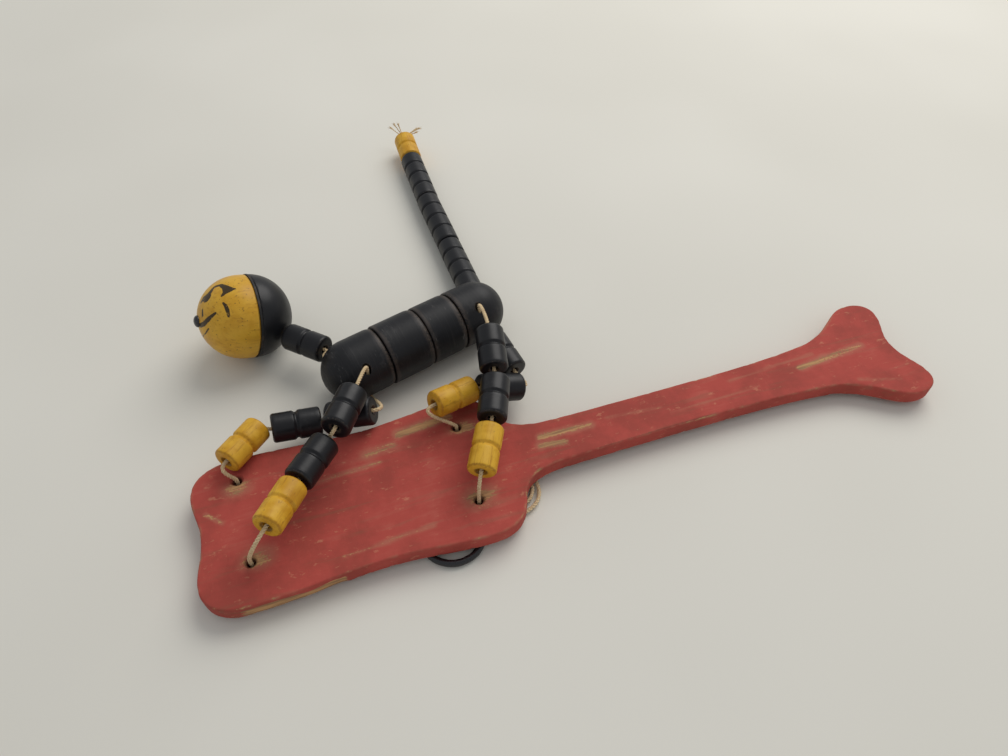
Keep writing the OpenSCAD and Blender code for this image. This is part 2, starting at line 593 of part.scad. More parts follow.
module tail_bead_1() { color(bead_black) tail_piece(0, 4); }
module tail_bead_2() { color(bead_black) tail_piece(1, 4); }
module tail_bead_3() { color(bead_black) tail_piece(2, 4); }
module tail_tip() { color(bead_yellow) tail_piece(3, 2); }
module tail_cord_1() { joint_cord(tail_link, tail_gap(0)); }
module tail_cord_2() { joint_cord(tail_gap(0), tail_gap(1)); }
module tail_cord_3() { joint_cord(tail_gap(1), tail_gap(2)); }
module tail_tip_cord() {
    color(cord_tan) tube(concat(last_half(tail_gap(2)), [tail_top(3)]), cord_d, knot = knot_d);
}

// The loose fibres of the cord's cut end, spreading from the knot that holds the tail tip
knot_d = 2 * cord_d;
fray_from = knot_d + 0.1;
fray_ends = [[-5.5, 7.5, 3.5], [-3, 8.5, 4.5], [-1, 7, 5], [8.5, 3.5, 2.5], [9.5, 1, 4], [7.5, -1.5, 3.5]];

module tail_fray() {
    knot = tail_top(3) + knot_d / 2 * sin(50) * tail_along(3);
    color(cord_tan) for (e = fray_ends)
        tube(curve([knot + fray_from / 2 * unit(e), knot + 0.4 * e + 1.2 * tail_along(3),
            knot + 0.75 * e, knot + e], 4), fray_d, 4);
}

// Pull rings lie flat under the paddle, each drilled through its wire for two cords
ring_z = table_z + ring_wire / 2;
ring_r = (ring_od - ring_wire) / 2;
function ring_place(at, turn, r) = [at[0] + r * cos(turn), at[1] + r * sin(turn), ring_z];

module pull_ring(at, ties) {
    color(ring_black) difference() {
        translate([at[0], at[1], ring_z]) rotate_extrude($fn = 72)
            translate([ring_r, 0]) circle(d = ring_wire, $fn = 32);
        for (turn = ties) translate(ring_place(at, turn, ring_r - ring_wire)) rotate([0, 90, turn])
            cylinder(d = cord_d + 0.1, h = 2 * ring_wire, $fn = 32);
    }
}

module front_pull_ring() { pull_ring(front_ring_at, front_ties); }
module rear_pull_ring() { pull_ring(rear_ring_at, rear_ties); }

// The slack under the paddle: down a hole, along its route, through a ring's wire to a
// knot inside the ring
stop_knot = ring_wire - 0.2;
knot_r = ring_r - ring_wire / 2 - 0.05;
// Length over which a cord runs straight into the ring's wire
straight_in = ring_wire;

module slack(hole, route, at, turn) {
    under = [for (k = [0, 1]) 0.75 * hole[k] + 0.25 * route[0][k]];
    path = concat(smooth_route(concat([[hole[0], hole[1], 1.2], [under[0], under[1], ring_z + 0.2]],
        [for (p = route) [p[0], p[1], ring_z]], [ring_place(at, turn, ring_r + straight_in + 1.5)]), 3),
        [for (r = [ring_r + straight_in, knot_r]) ring_place(at, turn, r)]);
    tube(concat([[hole[0], hole[1], paddle_t / 2 - 0.3]], path), cord_d, knot = stop_knot);
}

module front_ring_cord() {
    color(cord_tan) {
        slack(right_front_hole, front_far_route, front_ring_at, front_ties[0]);
        slack(left_front_hole, front_near_route, front_ring_at, front_ties[1]);
    }
}

module rear_ring_cord() {
    color(cord_tan) {
        slack(right_rear_hole, rear_far_route, rear_ring_at, rear_ties[0]);
        slack(left_rear_hole, rear_near_route, rear_ring_at, rear_ties[1]);
    }
}

// Short lengths of leg cord standing in the paddle's holes
module hole_cords() {
    color(cord_tan) for (h = holes) translate([h[0], h[1], paddle_t / 2])
        cylinder(d = cord_d, h = paddle_t / 2 - 0.2, $fn = 24);
}

paddle();
hole_cords();
front_pull_ring();
rear_pull_ring();
front_ring_cord();
rear_ring_cord();
left_front_foot();
left_front_shin();
left_front_thigh();
right_front_foot();
right_front_shin();
right_front_thigh();
left_rear_foot();
left_rear_shin();
left_rear_thigh();
right_rear_foot();
right_rear_shin();
right_rear_thigh();
left_front_foot_cord();
left_front_shin_cord();
left_front_thigh_cord();
right_front_foot_cord();
right_front_shin_cord();
right_front_thigh_cord();
left_rear_foot_cord();
left_rear_shin_cord();
left_rear_thigh_cord();
right_rear_foot_cord();
right_rear_shin_cord();
right_rear_thigh_cord();
chest();
front_middle();
rear_middle();
rump();
chest_cord();
front_middle_cord();
rear_middle_cord();
rump_cord();
front_hip_cord();
rear_hip_cord();
neck_bead();
neck_cord();
face_half();
back_half();
ear_disc();
nose_tack();
head_cord();
tail_bead_1();
tail_bead_2();
tail_bead_3();
tail_tip();
tail_cord_1();
tail_cord_2();
tail_cord_3();
tail_tip_cord();
tail_fray();
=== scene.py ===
import math
import bmesh
import bpy
import numpy as np
from mathutils import Matrix, Vector, geometry, noise


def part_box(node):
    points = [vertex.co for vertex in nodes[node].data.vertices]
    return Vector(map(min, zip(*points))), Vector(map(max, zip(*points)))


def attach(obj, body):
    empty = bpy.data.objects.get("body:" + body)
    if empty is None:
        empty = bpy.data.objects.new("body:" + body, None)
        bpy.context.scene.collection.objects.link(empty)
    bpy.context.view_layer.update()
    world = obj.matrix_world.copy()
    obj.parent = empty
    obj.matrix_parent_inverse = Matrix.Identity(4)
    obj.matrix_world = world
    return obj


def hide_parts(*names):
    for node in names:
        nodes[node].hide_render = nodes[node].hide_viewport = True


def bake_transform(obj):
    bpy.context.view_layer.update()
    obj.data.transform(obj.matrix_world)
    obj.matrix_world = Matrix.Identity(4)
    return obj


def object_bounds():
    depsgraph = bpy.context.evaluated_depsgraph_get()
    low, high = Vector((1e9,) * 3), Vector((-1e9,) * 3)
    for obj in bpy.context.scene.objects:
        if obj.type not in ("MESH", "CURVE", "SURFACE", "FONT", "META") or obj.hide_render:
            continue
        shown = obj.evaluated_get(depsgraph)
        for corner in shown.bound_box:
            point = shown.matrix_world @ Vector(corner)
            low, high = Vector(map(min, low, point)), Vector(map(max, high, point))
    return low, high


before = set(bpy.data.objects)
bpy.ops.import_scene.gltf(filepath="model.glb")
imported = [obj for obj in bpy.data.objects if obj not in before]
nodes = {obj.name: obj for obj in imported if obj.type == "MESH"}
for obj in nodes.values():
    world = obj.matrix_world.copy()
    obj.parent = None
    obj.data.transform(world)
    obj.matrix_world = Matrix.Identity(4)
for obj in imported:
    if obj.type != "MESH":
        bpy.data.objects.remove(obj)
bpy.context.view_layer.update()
mm = 0.001
print("frame loaded,", len(nodes), "nodes")


# Camera and light, as the photograph was taken

view = {
    "place": (2.91, -142.74, 230.13),
    "heading": -19.469,
    "tilt": 40.0,
    "roll": 0.6,
    "lens": 26.14,
}


def makeCamera():
    data = bpy.data.cameras.new("photoCamera")
    data.lens = view["lens"]
    data.sensor_width = 36
    data.clip_start = 0.005
    data.clip_end = 20
    camera = bpy.data.objects.new("photoCamera", data)
    camera.matrix_world = (Matrix.Translation(Vector(view["place"]) * mm)
                           @ Matrix.Rotation(math.radians(view["heading"]), 4, "Z")
                           @ Matrix.Rotation(math.radians(view["tilt"]), 4, "X")
                           @ Matrix.Rotation(math.radians(view["roll"]), 4, "Z"))
    bpy.context.scene.collection.objects.link(camera)
    bpy.context.scene.camera = camera


light = {
    "place": (0.75, 0.62, 0.95),
    "size": 1.1,
    "power": 9.9,
    "colour": (1.0, 0.975, 0.94),
    "roomColour": (0.93, 0.96, 1.0),
    "roomStrength": 0.49,
    "target": (0.03, 0.03, 0),
}


def makeLight():
    data = bpy.data.lights.new("softWindow", "AREA")
    data.shape = "DISK"
    data.size = light["size"]
    data.energy = light["power"]
    data.color = light["colour"]
    lamp = bpy.data.objects.new("softWindow", data)
    place = Vector(light["place"])
    turn = (place - Vector(light["target"])).to_track_quat("Z", "Y")
    lamp.matrix_world = Matrix.Translation(place) @ turn.to_matrix().to_4x4()
    bpy.context.scene.collection.objects.link(lamp)
    world = bpy.data.worlds.new("room")
    world.use_nodes = True
    background = world.node_tree.nodes["Background"]
    background.inputs["Color"].default_value = (*light["roomColour"], 1)
    background.inputs["Strength"].default_value = light["roomStrength"]
    bpy.context.scene.world = world
    bpy.context.scene.view_settings.view_transform = "Standard"


makeCamera()
makeLight()
print("camera and light set")


# Materials: a small builder of node graphs, then the paints

class Graph:
    def __init__(self, name, look):
        self.look = look
        self.material = bpy.data.materials.new(name)
        self.material.use_nodes = True
        self.tree = self.material.node_tree
        self.tree.nodes.clear()
        self.out = self.tree.nodes.new("ShaderNodeOutputMaterial")
        self.coat = self.tree.nodes.new("ShaderNodeBsdfPrincipled")
        self.tree.links.new(self.coat.outputs[0], self.out.inputs["Surface"])

    def node(self, kind, **settings):
        made = self.tree.nodes.new(kind)
        for name, value in settings.items():
            setattr(made, name, value)
        return made

    def feed(self, socket, value):
        if isinstance(value, bpy.types.NodeSocket):
            self.tree.links.new(value, socket)
        elif isinstance(value, (tuple, list)) and socket.type == "RGBA":
            socket.default_value = (*value[:3], 1)
        else:
            socket.default_value = value

    def objectPlace(self):
        return self.node("ShaderNodeTexCoord").outputs["Object"]

    def attribute(self, name, output="Fac"):
        return self.node("ShaderNodeAttribute", attribute_name=name).outputs[output]

    def stretch(self, vector, scale, shift):
        made = self.node("ShaderNodeMapping")
        self.feed(made.inputs["Vector"], vector)
        made.inputs["Scale"].default_value = scale
        made.inputs["Location"].default_value = shift
        return made.outputs[0]

    def noise(self, vector, scale, detail, rough, bend=0.0):
        made = self.node("ShaderNodeTexNoise")
        self.feed(made.inputs["Vector"], vector)
        for name, value in (("Scale", scale), ("Detail", detail), ("Roughness", rough), ("Distortion", bend)):
            made.inputs[name].default_value = value
        return made.outputs["Fac"]

    def pattern(self, place, name, shift=(0, 0, 0)):
        scale, *rest = self.look[name]
        if isinstance(scale, tuple):
            place, scale = self.stretch(place, scale, shift), 1
        return self.noise(place, scale, *rest)

    def math(self, operation, a, b=0.0):
        made = self.node("ShaderNodeMath", operation=operation)
        self.feed(made.inputs[0], a)
        self.feed(made.inputs[1], b)
        return made.outputs[0]

    def plus(self, a, b):
        return self.math("ADD", a, b)

    def times(self, a, b):
        return self.math("MULTIPLY", a, b)

    def weigh(self, a, shareA, b, shareB):
        return self.plus(self.times(a, shareA), self.times(b, shareB))

    def sway(self, pattern, amount):
        return self.times(self.math("SUBTRACT", pattern, 0.5), amount)

    def between(self, value, low, high):
        made = self.node("ShaderNodeMapRange", interpolation_type="SMOOTHSTEP")
        self.feed(made.inputs["Value"], value)
        made.inputs["From Min"].default_value = low
        made.inputs["From Max"].default_value = high
        return made.outputs[0]

    def mask(self, value, name):
        low, high, share = self.look[name]
        return self.times(self.between(value, low, high), share)

    def mix(self, factor, a, b):
        made = self.node("ShaderNodeMix", data_type="RGBA", blend_type="MIX")
        self.feed(made.inputs[0], factor)
        self.feed(made.inputs[6], a)
        self.feed(made.inputs[7], b)
        return made.outputs[2]

    def cover(self, colour, paint, value, mask):
        return self.mix(self.mask(value, mask), colour, self.look[paint])

    def finish(self, colour, dull, height):
        rough = self.node("ShaderNodeMapRange")
        self.feed(rough.inputs["Value"], dull)
        for name, value in zip(("To Min", "To Max"), self.look["roughness"]):
            rough.inputs[name].default_value = value
        bump = self.node("ShaderNodeBump")
        for name, value in zip(("Distance", "Strength"), self.look["bump"]):
            bump.inputs[name].default_value = value
        self.feed(bump.inputs["Height"], height)
        self.feed(self.coat.inputs["Base Color"], colour)
        self.feed(self.coat.inputs["Roughness"], rough.outputs[0])
        self.feed(self.coat.inputs["Normal"], bump.outputs[0])
        for name, value in self.look["coat"].items():
            self.coat.inputs[name].default_value = value
        return self.material


# In each paint a pattern is its scale, or one for each way, then detail, roughness and bend;
# a mask is where a pattern starts to show, where it is full, and the share it covers
yellowPaint = {
    "colour": (0.57, 0.285, 0.015),
    "pale": (0.70, 0.395, 0.035),
    "deep": (0.36, 0.145, 0.011),
    "grime": (0.110, 0.052, 0.015),
    "roughness": (0.34, 0.56),
    "bump": (0.00012, 0.55),
    "coat": {"Specular IOR Level": 0.24, "Coat Weight": 0.03, "Coat Roughness": 0.25},
    "grain": ((900, 900, 95), 4, 0.6, 0.4), "blotch": (190, 3, 0.55),
    "specks": ((1500, 1500, 700), 2, 0.5), "handling": (75, 2, 0.5),
    "faded": (0.32, 0.62, 1.0), "grained": (0.52, 0.74, 0.62), "specked": (0.63, 0.74, 0.40),
    "handled": (0.52, 0.75, 0.42), "rubbed": (0.55, 0.95, 0.55), "dirty": (0.35, 1.0, 0.85),
}


def yellowBead():
    g = Graph("yellow_paint", yellowPaint)
    place = g.attribute("wood", "Vector")
    grain, blotch, specks = (g.pattern(place, name) for name in ("grain", "blotch", "specks"))
    colour = g.cover(yellowPaint["colour"], "pale", blotch, "faded")
    colour = g.cover(colour, "deep", grain, "grained")
    colour = g.cover(colour, "grime", specks, "specked")
    colour = g.cover(colour, "deep", g.pattern(place, "handling"), "handled")
    colour = g.cover(colour, "deep", g.plus(g.attribute("rim"), g.sway(grain, 1.3)), "rubbed")
    colour = g.cover(colour, "grime", g.plus(g.attribute("grime"), g.sway(blotch, 0.9)), "dirty")
    return g.finish(colour, g.weigh(blotch, 0.6, grain, 0.5), g.weigh(grain, 0.7, specks, 0.4))


blackPaint = {
    "colour": (0.0065, 0.0065, 0.0080),
    "scuff": (0.040, 0.037, 0.036),
    "worn": (0.095, 0.068, 0.050),
    "scratch": (0.17, 0.165, 0.155),
    "roughness": (0.27, 0.48),
    "bump": (0.0001, 0.35),
    "coat": {"Specular IOR Level": 0.34},
    "rings": ((60, 60, 2600), 3, 0.6), "blotch": (150, 4, 0.6), "fine": (1300, 3, 0.6),
    "patches": ((70, 70, 120), 4, 0.65), "scores": ((240, 240, 2600), 2, 0.5),
    "scuffed": (0.56, 0.74, 0.34), "ringed": (0.55, 0.72, 0.10), "rubbed": (0.85, 1.25, 0.6),
    "dusty": (0.4, 1.1, 0.6), "scored": (0.66, 0.72, 0.0), "scoredPatch": (0.52, 0.62, 1.0),
    "ringRelief": 0.6,
}
dullBlackPaint = {
    **blackPaint,
    "roughness": (0.33, 0.58),
    "bump": (0.0001, 0.60),
    "coat": {"Specular IOR Level": 0.32},
    "scuffed": (0.56, 0.74, 0.54), "ringed": (0.55, 0.72, 0.35), "dusty": (0.4, 1.1, 0.32),
    "scored": (0.66, 0.72, 0.6), "ringRelief": 1.2,
}


def blackBead(name, look):
    g = Graph(name, look)
    place = g.attribute("wood", "Vector")
    rings, blotch, fine = (g.pattern(place, pattern) for pattern in ("rings", "blotch", "fine"))
    patches = g.pattern(place, "patches", (0.3, 0.1, 0.2))
    colour = g.cover(look["colour"], "scuff", g.plus(patches, g.sway(fine, 0.28)), "scuffed")
    colour = g.cover(colour, "scuff", rings, "ringed")
    colour = g.cover(colour, "worn", g.plus(g.attribute("rim"), g.sway(fine, 1.6)), "rubbed")
    dusty = g.plus(g.attribute("grime"), g.plus(g.sway(blotch, 1.0), g.sway(fine, 1.0)))
    colour = g.cover(colour, "worn", dusty, "dusty")
    scored = g.mask(g.pattern(place, "scores", (0.5, 0.9, 0)), "scored")
    colour = g.mix(g.times(scored, g.mask(patches, "scoredPatch")), colour, look["scratch"])
    return g.finish(colour, g.weigh(blotch, 0.7, fine, 0.4), g.weigh(rings, look["ringRelief"], fine, 0.35))


faceYellow = {
    **yellowPaint,
    "ink": blackPaint["colour"],
    "roughness": (0.30, 0.50),
    "bump": (0.0001, 0.45),
    "coat": {"Specular IOR Level": 0.28, "Coat Weight": 0.04, "Coat Roughness": 0.25},
    "grain": ((700, 900, 110), 4, 0.6, 0.3), "blotch": (120, 4, 0.6), "specks": (900, 2, 0.5),
    "faded": (0.3, 0.65, 1.0), "grained": (0.5, 0.75, 0.5), "specked": (0.64, 0.72, 0.6),
    "rubbed": (0.5, 1.0, 0.6), "inkWorn": (0.56, 0.72, 0.55), "inked": (0.40, 0.60, 0.93),
}


def facePaint():
    g = Graph("face_yellow", faceYellow)
    place = g.attribute("wood", "Vector")
    grain, blotch, specks = (g.pattern(place, name) for name in ("grain", "blotch", "specks"))
    colour = g.cover(faceYellow["colour"], "pale", blotch, "faded")
    colour = g.cover(colour, "deep", grain, "grained")
    colour = g.cover(colour, "grime", specks, "specked")
    colour = g.cover(colour, "grime", g.plus(g.attribute("rim"), g.sway(blotch, 1.2)), "rubbed")
    worn = g.math("SUBTRACT", g.attribute("ink"), g.mask(specks, "inkWorn"))
    colour = g.cover(colour, "ink", worn, "inked")
    return g.finish(colour, blotch, g.weigh(grain, 0.6, specks, 0.3))


redPaint = {
    "colour": (0.445, 0.075, 0.058),
    "deep": (0.345, 0.063, 0.047),
    "pale": (0.50, 0.108, 0.082),
    "rubbed": (0.42, 0.185, 0.115),
    "stain": (0.215, 0.095, 0.055),
    "fleck": (0.60, 0.27, 0.155),
    "wood": (0.56, 0.33, 0.14),
    "oldWood": (0.26, 0.155, 0.080),
    "grime": (0.085, 0.045, 0.030),
    "roughness": (0.62, 0.84),
    "bump": (0.00016, 0.55),
    "coat": {"Specular IOR Level": 0.15},
    "grain": ((55, 850, 850), 5, 0.65, 0.5), "streaks": ((26, 300, 300), 4, 0.6, 0.3),
    "blotch": (62, 5, 0.62), "fine": (1100, 3, 0.6), "scratches": ((2400, 150, 150), 2, 0.5, 0.6),
    "flecks": ((210, 420, 420), 4, 0.72),
    "mottled": (0.34, 0.60, 1.0), "paled": (0.54, 0.78, 0.75), "grained": (0.56, 0.78, 0.45),
    "scratched": (0.60, 0.75, 0.22), "stained": (0.52, 0.72, 0.42), "flecked": (0.60, 0.70, 0.42),
    "thinned": (0.08, 0.55, 0.50), "woodGrained": (0.35, 0.66, 1.0), "bared": (0.42, 0.62, 1.0),
    "bareShare": 0.86, "dirty": (0.50, 1.10, 0.66),
}


def paddlePaint():
    g = Graph("paddle_paint", redPaint)
    place = g.objectPlace()
    grain, streaks, blotch, fine = (g.pattern(place, name) for name in ("grain", "streaks", "blotch", "fine"))
    bareWood = g.attribute("bare")
    colour = g.cover(redPaint["deep"], "colour", blotch, "mottled")
    colour = g.cover(colour, "pale", g.plus(blotch, g.sway(streaks, 0.8)), "paled")
    colour = g.cover(colour, "deep", grain, "grained")
    colour = g.cover(colour, "pale", g.pattern(place, "scratches"), "scratched")
    colour = g.cover(colour, "stain", streaks, "stained")
    colour = g.cover(colour, "fleck", g.pattern(place, "flecks", (0.4, 0.2, 0)), "flecked")
    colour = g.cover(colour, "rubbed", g.plus(bareWood, g.sway(blotch, 0.8)), "thinned")
    wood = g.cover(redPaint["wood"], "oldWood", grain, "woodGrained")
    broken = g.plus(g.sway(streaks, 1.2), g.sway(fine, 0.7))
    bare = g.mask(g.plus(bareWood, broken), "bared")
    colour = g.mix(g.times(bare, redPaint["bareShare"]), colour, wood)
    colour = g.cover(colour, "grime", g.plus(g.attribute("grime"), g.times(broken, 0.8)), "dirty")
    height = g.math("SUBTRACT", g.weigh(grain, 0.7, fine, 0.3), g.times(bare, 0.5))
    return g.finish(colour, g.weigh(blotch, 0.5, grain, 0.5), height)


waxedCord = {
    "dark": (0.52, 0.36, 0.185),
    "light": (0.80, 0.64, 0.40),
    "soil": (0.34, 0.22, 0.125),
    "roughness": (0.62, 0.86),
    "bump": (0.00008, 0.6),
    "coat": {"Specular IOR Level": 0.3},
    "fibres": (2600, 3, 0.7), "soiling": (140, 3, 0.5),
    "lit": (0.3, 0.7, 1.0), "soiled": (0.45, 0.75, 0.4),
    "turnsAlong": 5200.0, "turnRelief": 0.25,
}


def cordFibre():
    g = Graph("cord", waxedCord)
    place = g.objectPlace()
    fibres = g.pattern(place, "fibres")
    soiling = g.pattern(place, "soiling")
    colour = g.cover(waxedCord["dark"], "light", fibres, "lit")
    colour = g.cover(colour, "soil", soiling, "soiled")
    wave = g.math("SINE", g.times(g.attribute("along"), waxedCord["turnsAlong"]))
    return g.finish(colour, soiling, g.plus(fibres, g.times(wave, waxedCord["turnRelief"])))


# Plain finishes: one colour with patches of a second, and a fine pattern that roughens it
ringEnamel = {
    "colour": (0.008, 0.008, 0.010), "second": (0.045, 0.040, 0.036), "roughness": (0.16, 0.42),
    "bump": (0.00008, 0.3), "coat": {"Specular IOR Level": 0.55},
    "patches": (260, 4, 0.6), "fine": (1800, 2, 0.6), "patched": (0.58, 0.72, 1.0), "relief": (1.0, 0.3),
}
earLeather = {
    "colour": (0.012, 0.011, 0.011), "second": (0.060, 0.042, 0.030), "roughness": (0.45, 0.8),
    "bump": (0.0001, 0.5), "coat": {"Specular IOR Level": 0.4},
    "patches": (180, 3, 0.6), "fine": (1500, 3, 0.6), "patched": (0.45, 0.7, 1.0), "relief": (0.0, 1.0),
}
noseEnamel = {
    "colour": (0.010, 0.010, 0.012), "second": (0.05, 0.042, 0.036), "roughness": (0.12, 0.38),
    "bump": (0.00006, 0.3), "coat": {"Specular IOR Level": 0.6},
    "patches": (900, 3, 0.6), "fine": (900, 3, 0.6), "patched": (0.55, 0.75, 1.0), "relief": (0.0, 1.0),
}
paleTable = {
    "colour": (0.725, 0.70, 0.625), "second": (0.765, 0.74, 0.665), "roughness": (0.72, 0.86),
    "bump": (0.00003, 0.2), "coat": {"Specular IOR Level": 0.2},
    "patches": (5.0, 2, 0.5), "fine": (700, 2, 0.5), "patched": (0.3, 0.7, 1.0), "relief": (0.0, 1.0),
}


def plainFinish(name, look):
    g = Graph(name, look)
    place = g.objectPlace()
    patches = g.pattern(place, "patches")
    fine = g.pattern(place, "fine")
    colour = g.cover(look["colour"], "second", patches, "patched")
    return g.finish(colour, fine, g.weigh(patches, look["relief"][0], fine, look["relief"][1]))


yellow = yellowBead()
black = blackBead("black_paint", blackPaint)
dullBlack = blackBead("black_paint_dull", dullBlackPaint)
facing = facePaint()
red = paddlePaint()
fibre = cordFibre()
enamel = plainFinish("ring_enamel", ringEnamel)
leather = plainFinish("ear_leather", earLeather)
tack = plainFinish("nose_enamel", noseEnamel)
print("materials made")


# Mesh and geometry-node helpers

def vertexArray(mesh):
    values = np.empty(len(mesh.vertices) * 3)
    mesh.vertices.foreach_get("co", values)
    return values.reshape(-1, 3)


def newObject(name, mesh):
    made = bpy.data.objects.new(name, mesh)
    bpy.context.scene.collection.objects.link(made)
    return made


def meshFrom(name, points, edges=(), faces=()):
    mesh = bpy.data.meshes.new(name)
    mesh.from_pydata([tuple(p) for p in points], edges, faces)
    return mesh


def floatAttribute(mesh, name, values):
    layer = mesh.attributes.get(name) or mesh.attributes.new(name, "FLOAT", "POINT")
    layer.data.foreach_set("value", np.asarray(values, np.float32))


def vectorAttribute(mesh, name, values):
    layer = mesh.attributes.get(name) or mesh.attributes.new(name, "FLOAT_VECTOR", "POINT")
    layer.data.foreach_set("vector", np.asarray(values, np.float32).ravel())


def bake(made):
    graph = bpy.context.evaluated_depsgraph_get()
    result = bpy.data.meshes.new_from_object(made.evaluated_get(graph))
    made.modifiers.clear()
    made.data = result


edgeTurn = math.radians(38)  # a turned piece shows an edge where its faces turn by more than this


def outward(mesh, sharpTurn=edgeTurn):
    work = bmesh.new()
    work.from_mesh(mesh)
    bmesh.ops.remove_doubles(work, verts=work.verts, dist=2e-6)
    bmesh.ops.dissolve_degenerate(work, dist=1e-7, edges=work.edges)
    bmesh.ops.recalc_face_normals(work, faces=work.faces)
    work.to_mesh(mesh)
    work.free()
    mesh.shade_smooth()
    mesh.set_sharp_from_angle(angle=sharpTurn)


class NodeTree:
    def __init__(self, name, **inputs):
        self.tree = bpy.data.node_groups.new(name, "GeometryNodeTree")
        face = self.tree.interface
        face.new_socket("Geometry", in_out="INPUT", socket_type="NodeSocketGeometry")
        self.names = {}
        for title, kind in inputs.items():
            socket = face.new_socket(title, in_out="INPUT", socket_type="NodeSocket" + kind)
            self.names[title] = socket.identifier
        face.new_socket("Geometry", in_out="OUTPUT", socket_type="NodeSocketGeometry")
        self.given = self.tree.nodes.new("NodeGroupInput")
        self.made = self.tree.nodes.new("NodeGroupOutput")

    def node(self, kind, settings=None, **sockets):
        made = self.tree.nodes.new(kind)
        for name, value in (settings or {}).items():
            setattr(made, name, value)
        for name, value in sockets.items():
            self.feed(self.socket(made, name), value)
        return made

    def socket(self, made, name):
        if name.startswith("in"):
            return made.inputs[int(name[2:])]
        named = [s for s in made.inputs if s.name.replace(" ", "") == name]
        return next((s for s in named if s.enabled), named[0])

    def feed(self, socket, value):
        if isinstance(value, bpy.types.Node):
            value = next(s for s in value.outputs if s.enabled)
        if isinstance(value, bpy.types.NodeSocket):
            self.tree.links.new(value, socket)
        else:
            socket.default_value = value

    def math(self, operation, a, b=0.0):
        return self.node("ShaderNodeMath", {"operation": operation}, in0=a, in1=b)

    def vector(self, operation, a, b=None):
        sockets = {"in0": a} if b is None else {"in0": a, "in1": b}
        return self.node("ShaderNodeVectorMath", {"operation": operation}, **sockets)

    def stretch(self, a, by):
        made = self.node("ShaderNodeVectorMath", {"operation": "SCALE"}, in0=a)
        self.feed(made.inputs["Scale"], by)
        return made

    def apply(self, name, mesh, **values):
        made = newObject(name, mesh)
        modifier = made.modifiers.new(self.tree.name, "NODES")
        modifier.node_group = self.tree
        for title, value in values.items():
            modifier[self.names[title]] = value
        bake(made)
        made.data.name = name
        return made


def turningTree():
    t = NodeTree("turnedPiece", Steps="Int", Uneven="Float", Seed="Float", Finish="Material")
    given = t.given.outputs
    size = t.node("GeometryNodeAttributeDomainSize", {"component": "MESH"}, Geometry=given["Geometry"])
    rows = size.outputs[0]
    columns = t.math("ADD", given["Steps"], 1)
    grid = t.node("GeometryNodeMeshGrid", VerticesX=columns, VerticesY=rows)
    index = t.node("GeometryNodeInputIndex")
    row = t.math("MODULO", index, rows)
    column = t.math("FLOOR", t.math("DIVIDE", t.math("ADD", index, 0.5), rows))
    point = t.node("GeometryNodeSampleIndex", {"data_type": "FLOAT_VECTOR", "domain": "POINT"},
                   Geometry=given["Geometry"], Value=t.node("GeometryNodeInputPosition"), Index=row)
    parts = t.node("ShaderNodeSeparateXYZ", in0=point)
    turn = t.math("MULTIPLY", t.math("DIVIDE", column, given["Steps"]), 2 * math.pi)
    x = t.math("MULTIPLY", t.math("COSINE", turn), parts.outputs[0])
    y = t.math("MULTIPLY", t.math("SINE", turn), parts.outputs[0])
    spun = t.node("ShaderNodeCombineXYZ", in0=x, in1=y, in2=parts.outputs[2])
    moved = t.node("GeometryNodeSetPosition", Geometry=grid.outputs["Mesh"], Position=spun)
    here = t.node("GeometryNodeInputPosition")
    lookup = t.vector("ADD", t.stretch(here, 180.0), t.node("ShaderNodeCombineXYZ", in0=given["Seed"]))
    ripple = t.node("ShaderNodeTexNoise", {"noise_dimensions": "3D"}, Vector=lookup, Scale=1.0, Detail=3.0)
    amount = t.math("MULTIPLY", t.math("SUBTRACT", ripple.outputs[0], 0.5), given["Uneven"])
    outwards = t.vector("NORMALIZE", t.vector("MULTIPLY", here, (1.0, 1.0, 0.0)))
    moved = t.node("GeometryNodeSetPosition", Geometry=moved, Offset=t.stretch(outwards, amount))
    merged = t.node("GeometryNodeMergeByDistance", Geometry=moved, Distance=3e-6)
    real = t.node("GeometryNodeRealizeInstances", Geometry=merged)
    painted = t.node("GeometryNodeSetMaterial", Geometry=real, Material=given["Finish"])
    t.feed(t.made.inputs[0], painted)
    return t


strandShares = {"radius": 0.262, "offset": 0.238}  # of the cord's diameter


